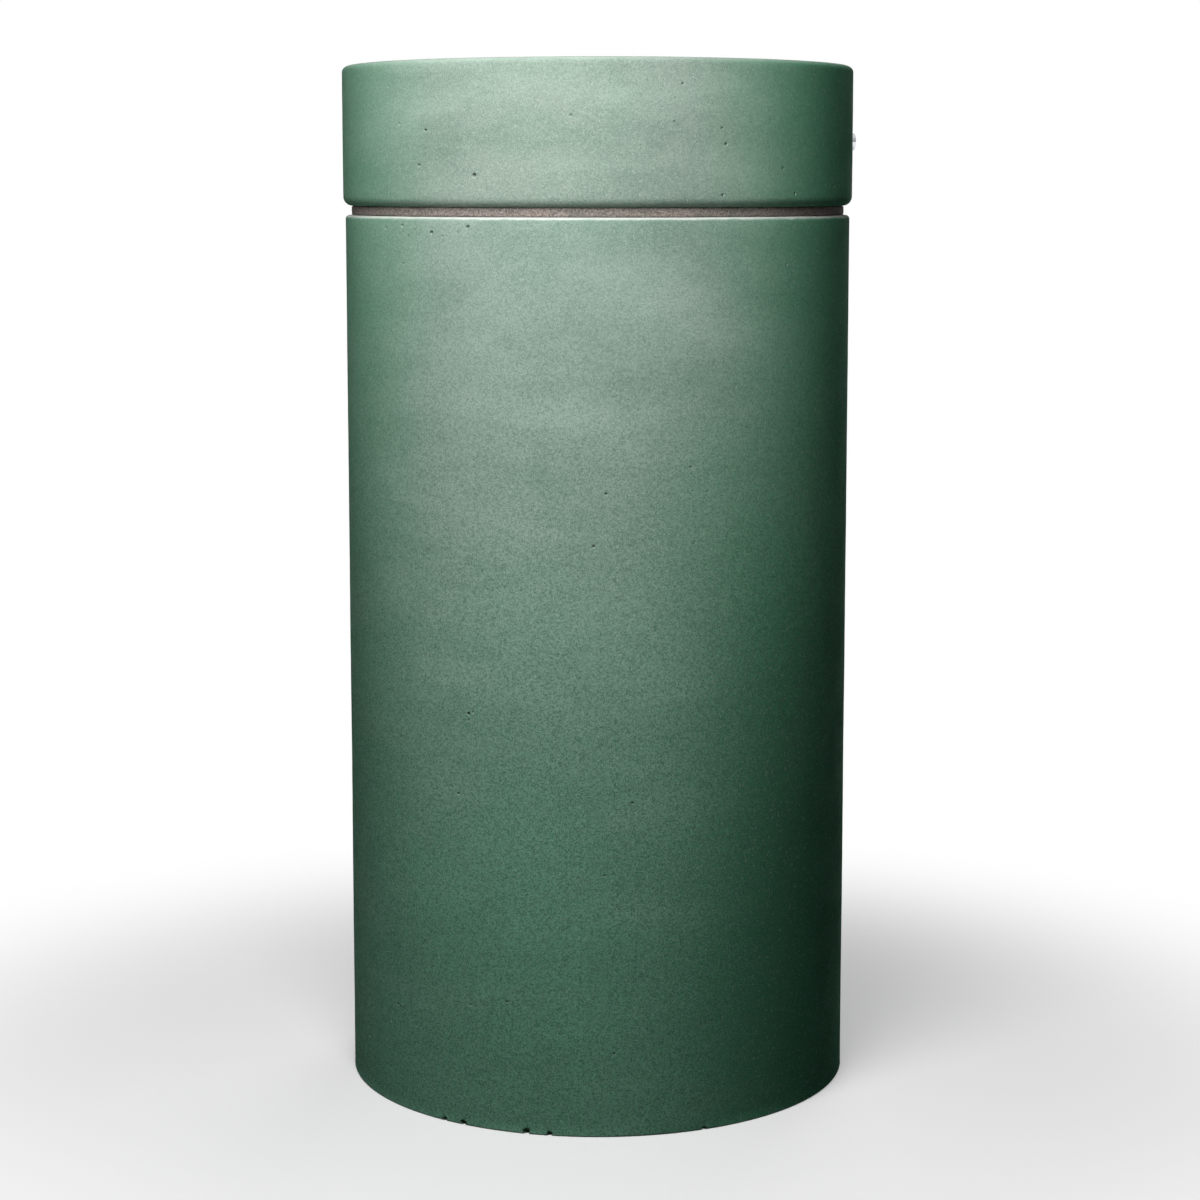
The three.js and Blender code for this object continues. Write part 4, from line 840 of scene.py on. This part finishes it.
def make_pedestal():
    pedestal = turned("pedestal", pedestal_profile(), BIG_SEGMENTS)
    weathered(pedestal, pedestal_high.z - 2 * MM, 0.5 * MM)
    outside = PEDESTAL_RADIUS + 10 * MM
    niche = block(
        (frame_plate_low.x - NICHE_MARGIN, NICHE_Y, frame_plate_low.z - NICHE_MARGIN),
        (frame_plate_high.x + NICHE_MARGIN, outside, frame_plate_high.z + NICHE_MARGIN))
    hole_half = leaf_high.x - 2 * MM
    opening = block(
        (-hole_half, CAVITY_RADIUS / 2, leaf_low.z), (hole_half, NICHE_Y + 5 * MM, leaf_high.z))
    screws = joined([
        along_y(rod(3 * MM, NICHE_Y - 26 * MM, NICHE_Y + 5 * MM), x, z) for x, z in screw_places()])
    anchors = []
    for k in range(4):
        angle = math.radians(45 + 90 * k)
        place = Matrix.Translation((ANCHOR_CIRCLE * math.cos(angle), ANCHOR_CIRCLE * math.sin(angle), 0))
        anchors.append(moved(rod(7.5 * MM, -1 * MM, BASE_THICKNESS + 1 * MM), place))
    top = pedestal_high.z
    cut(pedestal, niche, opening, screws, joined(anchors), dowel_holes(top - DOWEL_DEPTH, top + 1 * MM))
    generator = random.Random(SEED + 1)
    # as on the head: degrees from the front towards +X, height, radius
    seen = [
        (-47, 0.7635, 1.5 * MM),
        (-38, 0.7580, 1.8 * MM),
        (-28.5, 0.7630, 1.7 * MM),
        (-53, 0.7610, 1.0 * MM),
        (-43, 0.7600, 0.9 * MM),
        (-35, 0.7555, 0.9 * MM),
        (-45, 0.7550, 0.8 * MM),
        (-31, 0.7585, 0.8 * MM),
        (-29.0, 0.3580, 1.4 * MM),
        (-27.9, 0.3600, 1.0 * MM),
        (-29.0, 0.3525, 0.9 * MM),
        (-51, 0.0910, 1.2 * MM),
        (-49.3, 0.0930, 0.9 * MM),
        (-49.5, 0.0865, 1.0 * MM),
        (-53.7, 0.0740, 1.4 * MM),
        (-45.8, 0.0820, 1.0 * MM),
        (-44.5, 0.0775, 0.9 * MM),
        (-20, 0.1140, 1.2 * MM),
    ]
    others = scattered(120, 20 * MM, pedestal_high.z - 8 * MM, generator)
    away = [hole for hole in others if abs(hole[0]) < 150]
    cut(pedestal, pinholes(seen + away, PEDESTAL_RADIUS - 0.2 * MM, generator))
    chips = [
        (-15.7, 0.0020, 3.0 * MM),
        (-10.5, 0.0015, 2.6 * MM),
        (-31.0, 0.0020, 3.4 * MM),
        (-36.0, 0.0015, 2.6 * MM),
        (24.0, 0.0010, 2.4 * MM),
        (97.0, 0.0015, 3.6 * MM),
        (-118.0, 0.0020, 3.2 * MM),
        (163.0, 0.0015, 3.4 * MM),
    ]
    cut(pedestal, pinholes(chips, PEDESTAL_RADIUS + 0.4 * MM, generator))
    return stands_for(pedestal, "pedestal", "fountain", CONCRETE)


def make_ring():
    low, high = ring_low.z, ring_high.z
    inner = RING_RADIUS - RING_WIDTH
    ring = turned("ring", [
        (inner, low),
        (RING_RADIUS - 0.6 * MM, low),
        *line((RING_RADIUS, low), (RING_RADIUS, high), 0.9 * MM),
        (RING_RADIUS - 0.6 * MM, high),
        (inner, high),
    ], RING_SEGMENTS)
    for vertex in ring.data.vertices:
        place = vertex.co
        distance = math.hypot(place.x, place.y)
        if distance > RING_RADIUS - 5 * MM:
            coarse = 0.5 + 0.5 * noise.noise(place * 420)
            slow = 0.5 + 0.5 * noise.noise(place * 40)
            inward = (0.9 * coarse + 0.5 * slow) * MM
            place.x -= place.x / distance * inward
            place.y -= place.y / distance * inward
    cut(ring, dowel_holes(low - 1 * MM, high + 1 * MM))
    return stands_for(ring, "spacer_ring", "fountain", MORTAR)


# ---- Round fittings -----------------------------------------------------------------------------
def make_button():
    seat = HEAD_RADIUS - 2.7 * MM
    face = bezel_high.x
    lip = face - BEZEL_LIP
    bezel = turned("bezel", rounded([
        (11 * MM, bezel_low.x),
        (14 * MM, bezel_low.x),
        (14 * MM, seat),
        (17 * MM, seat),
        (17 * MM, face - 0.6 * MM),
        (16.2 * MM, face),
        (13.2 * MM, face - 0.2 * MM),
        (10.5 * MM, face - 0.9 * MM),
        (8.4 * MM, face - 1.6 * MM),
        (8.4 * MM, lip),
        (11 * MM, lip),
    ], 0.35 * MM), FITTING_SEGMENTS)
    stands_for(along_x(bezel), "button_bezel", "fountain", CHROME)
    back, front = button_low.x, button_high.x
    collar_front = back + BUTTON_COLLAR
    button = turned("button", [
        (0, back),
        *rounded([
            (10.6 * MM, back),
            (10.6 * MM, collar_front),
            (8 * MM, collar_front),
            (8 * MM, front - 1.6 * MM),
        ], 0.25 * MM)[1:-1],
        *arc((6.4 * MM, front - 1.6 * MM), 1.6 * MM, 0, 90, 8),
        (5.4 * MM, front - 0.02 * MM),
        (4.0 * MM, front - 0.18 * MM),
        (2.4 * MM, front - 0.42 * MM),
        (1.0 * MM, front - 0.52 * MM),
        (0, front - 0.55 * MM),
    ], FITTING_SEGMENTS)
    stands_for(along_x(button), "push_button", "button", CHROME)


def make_spring():
    """The return spring as a real coil."""
    wire = 0.8 * MM
    centre = (spring_high.z - spring_low.z) / 2 - wire
    turns = 4
    steps = 36 * turns
    sides = 10
    low, high = spring_low.x + wire, spring_high.x - wire
    bm = bmesh.new()
    rings = []
    for i in range(steps + 1):
        t = i / steps
        closing = 0.5 - 0.5 * math.cos(math.pi * t)
        along = low + (high - low) * (0.6 * t + 0.4 * closing)
        angle = 2 * math.pi * turns * t
        outward = Vector((0, math.cos(angle), math.sin(angle)))
        middle = Vector((along, 0, BUTTON_Z)) + outward * centre
        ring = []
        for k in range(sides):
            turn = 2 * math.pi * k / sides
            offset = outward * math.cos(turn) + Vector((1, 0, 0)) * math.sin(turn)
            ring.append(bm.verts.new(middle + offset * wire))
        rings.append(ring)
    for first, second in zip(rings, rings[1:]):
        for k in range(sides):
            m = (k + 1) % sides
            bm.faces.new((first[k], first[m], second[m], second[k]))
    bm.faces.new(rings[0])
    bm.faces.new(reversed(rings[-1]))
    spring = stands_for(add_object("spring", bm), "return_spring", "fountain", TURNED_STEEL)
    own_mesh(spring)


def make_bubbler():
    foot = 22.3 * MM
    base = turned("base", rounded([
        (3 * MM, -48 * MM),
        (8 * MM, -48 * MM),
        # points close to the flange's inner corner keep it sharp, clear of the gasket
        (8 * MM, 1.1 * MM),
        (8 * MM, 1.3 * MM),
        (8.2 * MM, 1.3 * MM),
        (24 * MM, 1.3 * MM),
        (24 * MM, 3.6 * MM),
        (22.4 * MM, 5.0 * MM),
        (17 * MM, 6.2 * MM),
        (14 * MM, 7.9 * MM),
        (13 * MM, 10.5 * MM),
        (13 * MM, 16.4 * MM),
        (14.2 * MM, 18.4 * MM),
        (17 * MM, 20.2 * MM),
        (17 * MM, 22 * MM),
        (3 * MM, 22 * MM),
    ], 0.9 * MM, 4), FITTING_SEGMENTS)
    stands_for(along_bubbler(base), "bubbler_base", "fountain", CHROME)
    nozzle = turned("nozzle", rounded([
        (2 * MM, foot),
        (7 * MM, foot),
        (7 * MM, foot + 3 * MM),
        (5 * MM, foot + 4.5 * MM),
        (5 * MM, foot + 8 * MM),
        (4 * MM, foot + 9.5 * MM),
        (2.8 * MM, foot + 9.5 * MM),
        (2 * MM, foot + 8.5 * MM),
    ], 0.4 * MM), SMALL_SEGMENTS)
    stands_for(along_bubbler(nozzle), "bubbler_nozzle", "fountain", CHROME)
    guard = turned("guard", [
        (13 * MM, foot),
        (16.2 * MM, foot),
        (16.5 * MM, foot + 0.4 * MM),
        (16.5 * MM, foot + 6 * MM),
        (16.0 * MM, foot + 8.6 * MM),
        (14.9 * MM, foot + 10.9 * MM),
        (12.8 * MM, foot + 13.0 * MM),
        (10.2 * MM, foot + 14.6 * MM),
        (6.4 * MM, foot + 15.7 * MM),
        (3.0 * MM, foot + 16.1 * MM),
        (0, foot + 16.2 * MM),
        (0, foot + 14.2 * MM),
        (4.6 * MM, foot + 13.9 * MM),
        (8.2 * MM, foot + 13.1 * MM),
        (10.6 * MM, foot + 11.8 * MM),
        (12.2 * MM, foot + 10.2 * MM),
        (13 * MM, foot + 8.4 * MM),
    ], FITTING_SEGMENTS)
    cut(guard, block((-30 * MM, -30 * MM, foot + 3 * MM), (30 * MM, 3 * MM, foot + 30 * MM)))
    stands_for(along_bubbler(guard), "bubbler_guard", "fountain", CHROME)


def domed_screw(radius, low, rise, shank_radius, shank_low):
    """A screw with a domed head, made about +Z. Its slot is cut afterwards."""
    return turned("screw", [
        (0, shank_low),
        (shank_radius, shank_low),
        (shank_radius, low),
        (radius - 0.2 * MM, low),
        (radius, low + 0.2 * MM),
        (radius, low + 0.28 * rise),
        (radius * 0.95, low + 0.52 * rise),
        (radius * 0.82, low + 0.76 * rise),
        (radius * 0.56, low + 0.92 * rise),
        (radius * 0.28, low + 0.98 * rise),
        (0, low + rise),
    ], SMALL_SEGMENTS)


def make_drain():
    flange = drain_high.z - 3 * MM
    ledge = strainer_low.z - 0.3 * MM
    edge = drain_high.x
    body = turned("drain", [
        (DRAIN_BORE, drain_low.z),
        (DRAIN_BODY_RADIUS, drain_low.z),
        (DRAIN_BODY_RADIUS, flange),
        (edge - 0.4 * MM, flange),
        (edge, flange + 0.4 * MM),
        (edge, flange + 1.9 * MM),
        *arc((edge - 1.1 * MM, flange + 1.9 * MM), 1.1 * MM, 0, 90, 6)[1:],
        (34.5 * MM, flange + 2.72 * MM),
        (30.5 * MM, flange + 1.95 * MM),
        (26.5 * MM, flange + 1.3 * MM),
        (23.6 * MM, flange + 0.95 * MM),
        (22.6 * MM, flange + 0.7 * MM),
        (22.3 * MM, flange + 0.3 * MM),
        (22.3 * MM, ledge),
        (DRAIN_BORE, ledge),
    ], FITTING_SEGMENTS)
    bar_reach = DRAIN_BORE + 1 * MM
    combine(body, block(
        (-bar_reach, -3.5 * MM, ledge - 14 * MM), (bar_reach, 3.5 * MM, ledge - 7 * MM)), "UNION")
    cut(body, rod(2.8 * MM, ledge - 20 * MM, ledge))
    stands_for(body, "drain_body", "fountain", CHROME)
    strainer = turned("strainer", [
        (0, strainer_low.z),
        (21.7 * MM, strainer_low.z),
        (22 * MM, strainer_low.z + 0.3 * MM),
        (22 * MM, strainer_high.z - 0.7 * MM),
        (21.6 * MM, strainer_high.z - 0.25 * MM),
        (20.8 * MM, strainer_high.z),
        (0, strainer_high.z),
    ], FITTING_SEGMENTS)
    holes = [rod(2.8 * MM, ledge - 1 * MM, drain_high.z)]
    for count, circle in ((6, 9.5 * MM), (12, 16.5 * MM)):
        for k in range(count):
            angle = 2 * math.pi * k / count
            place = Matrix.Translation((circle * math.cos(angle), circle * math.sin(angle), 0))
            holes.append(moved(rod(2.2 * MM, ledge - 1 * MM, drain_high.z, 24), place))
    cut(strainer, joined(holes))
    stands_for(strainer, "drain_strainer", "fountain", CHROME)
    seat = strainer_high.z + 0.3 * MM
    screw = domed_screw(5 * MM, seat, screw_high.z - seat, 2.4 * MM, screw_low.z)
    cut(screw, block((-6 * MM, -0.6 * MM, seat + 1.4 * MM), (6 * MM, 0.6 * MM, seat + 6 * MM)))
    stands_for(screw, "strainer_screw", "fountain", CHROME)


def screw_places():
    """The frame screws' (x, z), from their CAD nodes."""
    places = []
    for number in range(1, 5):
        low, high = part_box(f"frame_screw_{number}")
        places.append(((low.x + high.x) / 2, (low.z + high.z) / 2))
    return places


def make_door_fixings():
    low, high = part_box("frame_screw_1")
    seat = high.y - 2.6 * MM
    for number, (x, z) in enumerate(screw_places(), start=1):
        screw = domed_screw(5 * MM, seat, 2.55 * MM, 2.5 * MM, low.y)
        cut(screw, block((-2.6 * MM, -0.5 * MM, seat + 1.2 * MM), (2.6 * MM, 0.5 * MM, seat + 5 * MM)))
        moved(screw, Matrix.Rotation(math.radians(23 * number), 4, "Z"))
        stands_for(along_y(screw, x, z), f"frame_screw_{number}", "fountain", TURNED_STEEL)
    x = (lock_low.x + lock_high.x) / 2
    z = (lock_low.z + lock_high.z) / 2
    face = lock_high.y
    body = turned("lock", rounded([
        (5.3 * MM, lock_low.y),
        (9 * MM, lock_low.y),
        (9 * MM, face - 2 * MM),
        (12 * MM, face - 2 * MM),
        (12 * MM, face - 0.7 * MM),
        (10.6 * MM, face),
        (6.2 * MM, face),
        (5.3 * MM, face - 0.5 * MM),
    ], 0.3 * MM), FITTING_SEGMENTS)
    stands_for(along_y(body, x, z), "lock_body", "door", CHROME)
    plug_face = plug_high.y
    shoulder = lock_low.y - 0.8 * MM
    plug = turned("plug", [
        (0, plug_low.y),
        (2.8 * MM, plug_low.y),
        (3 * MM, plug_low.y + 0.2 * MM),
        (3 * MM, shoulder),
        (5 * MM, shoulder),
        (5 * MM, plug_face - 0.35 * MM),
        (4.65 * MM, plug_face),
        (0, plug_face),
    ], SMALL_SEGMENTS)
    cut(plug, rod(2.6 * MM, plug_face - 4 * MM, plug_face + 2 * MM, 3))
    stands_for(along_y(plug, x, z), "lock_plug", "lock_cam", TURNED_STEEL)


# ---- Floor, light and camera --------------------------------------------------------------------
def ray(tree, kind):
    """1 for the rays of that kind, such as Is Camera Ray."""
    return tree.nodes.new("ShaderNodeLightPath").outputs[kind]


def not_diffuse(tree):
    """0 where the floor or sky only lights other surfaces, 1 where it is seen or mirrored."""
    node = tree.nodes.new("ShaderNodeMath")
    node.operation = "SUBTRACT"
    node.inputs[0].default_value = 1
    tree.links.new(ray(tree, "Is Diffuse Ray"), node.inputs[1])
    return node.outputs["Value"]


def make_floor():
    """A pale floor that brightens into the white backdrop away from the fountain."""
    bm = bmesh.new()
    bmesh.ops.create_circle(bm, cap_ends=True, segments=96, radius=30)
    floor = add_object("floor", bm)
    if floor.data.polygons[0].normal.z < 0:
        floor.data.flip_normals()
    material = bpy.data.materials.new("studio_floor")
    material.use_nodes = True
    tree = material.node_tree
    tree.nodes.clear()
    place = tree.nodes.new("ShaderNodeTexCoord")
    length = tree.nodes.new("ShaderNodeVectorMath")
    length.operation = "LENGTH"
    tree.links.new(place.outputs["Object"], length.inputs[0])
    fade = tree.nodes.new("ShaderNodeMapRange")
    fade.interpolation_type = "SMOOTHERSTEP"
    fade.inputs["From Min"].default_value = FLOOR_FADE_START
    fade.inputs["From Max"].default_value = FLOOR_FADE_END
    tree.links.new(length.outputs["Value"], fade.inputs["Value"])
    tint = tree.nodes.new("ShaderNodeTexNoise")
    tint.inputs["Scale"].default_value = 3
    tree.links.new(place.outputs["Object"], tint.inputs["Vector"])
    ramp = tree.nodes.new("ShaderNodeMapRange")
    ramp.inputs["To Min"].default_value = 0.78
    ramp.inputs["To Max"].default_value = 0.84
    tree.links.new(tint.outputs["Fac"], ramp.inputs["Value"])
    seen = tree.nodes.new("ShaderNodeMix")
    seen.data_type = "FLOAT"
    seen.inputs["A"].default_value = FLOOR_BOUNCE
    tree.links.new(not_diffuse(tree), seen.inputs["Factor"])
    tree.links.new(ramp.outputs["Result"], seen.inputs["B"])
    matte = tree.nodes.new("ShaderNodeBsdfDiffuse")
    tree.links.new(seen.outputs["Result"], matte.inputs["Color"])
    near = tree.nodes.new("ShaderNodeEmission")
    near.inputs["Color"].default_value = (1, 1, 1, 1)
    strength = tree.nodes.new("ShaderNodeMath")
    strength.operation = "MULTIPLY"
    strength.inputs[1].default_value = FLOOR_GLOW
    tree.links.new(not_diffuse(tree), strength.inputs[0])
    tree.links.new(strength.outputs["Value"], near.inputs["Strength"])
    added = tree.nodes.new("ShaderNodeAddShader")
    tree.links.new(matte.outputs["BSDF"], added.inputs[0])
    tree.links.new(near.outputs["Emission"], added.inputs[1])
    far = tree.nodes.new("ShaderNodeEmission")
    far.inputs["Color"].default_value = (1, 1, 1, 1)
    tree.links.new(not_diffuse(tree), far.inputs["Strength"])
    blend = tree.nodes.new("ShaderNodeMixShader")
    tree.links.new(fade.outputs["Result"], blend.inputs["Fac"])
    tree.links.new(added.outputs["Shader"], blend.inputs[1])
    tree.links.new(far.outputs["Emission"], blend.inputs[2])
    output = tree.nodes.new("ShaderNodeOutputMaterial")
    tree.links.new(blend.outputs["Shader"], output.inputs["Surface"])
    floor.data.materials.append(material)


def make_world():
    """White behind the fountain. What mirrors it sees a studio, brighter overhead, and little of its
    light falls on the rest, so that the softboxes shape the fountain."""
    world = bpy.data.worlds.new("studio")
    world.use_nodes = True
    bpy.context.scene.world = world
    tree = world.node_tree
    tree.nodes.clear()
    place = tree.nodes.new("ShaderNodeTexCoord")
    split = tree.nodes.new("ShaderNodeSeparateXYZ")
    tree.links.new(place.outputs["Generated"], split.inputs["Vector"])

    def sky(low, high):
        rise = tree.nodes.new("ShaderNodeMapRange")
        rise.inputs["From Min"].default_value = 0.05
        rise.inputs["From Max"].default_value = 1.0
        rise.inputs["To Min"].default_value = low
        rise.inputs["To Max"].default_value = high
        tree.links.new(split.outputs["Z"], rise.inputs["Value"])
        return rise.outputs["Result"]

    def choose(kind, otherwise, value):
        node = tree.nodes.new("ShaderNodeMix")
        node.data_type = "FLOAT"
        tree.links.new(ray(tree, kind), node.inputs["Factor"])
        tree.links.new(otherwise, node.inputs["A"])
        if isinstance(value, float):
            node.inputs["B"].default_value = value
        else:
            tree.links.new(value, node.inputs["B"])
        return node.outputs["Result"]

    mirrored = choose("Is Glossy Ray", sky(SKY_LOW, SKY_HIGH), sky(MIRRORED_LOW, MIRRORED_HIGH))
    background = tree.nodes.new("ShaderNodeBackground")
    background.inputs["Color"].default_value = (1, 1, 1, 1)
    tree.links.new(choose("Is Camera Ray", mirrored, 1.0), background.inputs["Strength"])
    output = tree.nodes.new("ShaderNodeOutputWorld")
    tree.links.new(background.outputs["Background"], output.inputs["Surface"])


def add_softbox(name, place, target, size, power):
    light = bpy.data.lights.new(name, "AREA")
    light.shape = "DISK"
    light.size = size
    light.energy = power
    obj = bpy.data.objects.new(name, light)
    obj.location = place
    obj.rotation_euler = (Vector(target) - Vector(place)).to_track_quat("-Z", "Y").to_euler()
    obj.visible_camera = False
    bpy.context.scene.collection.objects.link(obj)


def make_camera():
    camera = bpy.data.cameras.new("camera")
    camera.lens = CAMERA_LENS
    camera.shift_x = CAMERA_SHIFT_X
    camera.shift_y = CAMERA_SHIFT_Y
    obj = bpy.data.objects.new("camera", camera)
    obj.location = (0, -CAMERA_DISTANCE, CAMERA_HEIGHT)
    obj.rotation_euler = (math.radians(90 - CAMERA_PITCH), 0, 0)
    bpy.context.scene.collection.objects.link(obj)
    bpy.context.scene.camera = obj


dress_cad_nodes()
make_head()
make_pedestal()
make_ring()
make_button()
make_spring()
make_bubbler()
make_drain()
make_door_fixings()
make_floor()
make_world()
for softbox in SOFTBOXES:
    add_softbox(*softbox)
make_camera()
bpy.context.scene.view_settings.view_transform = "Standard"
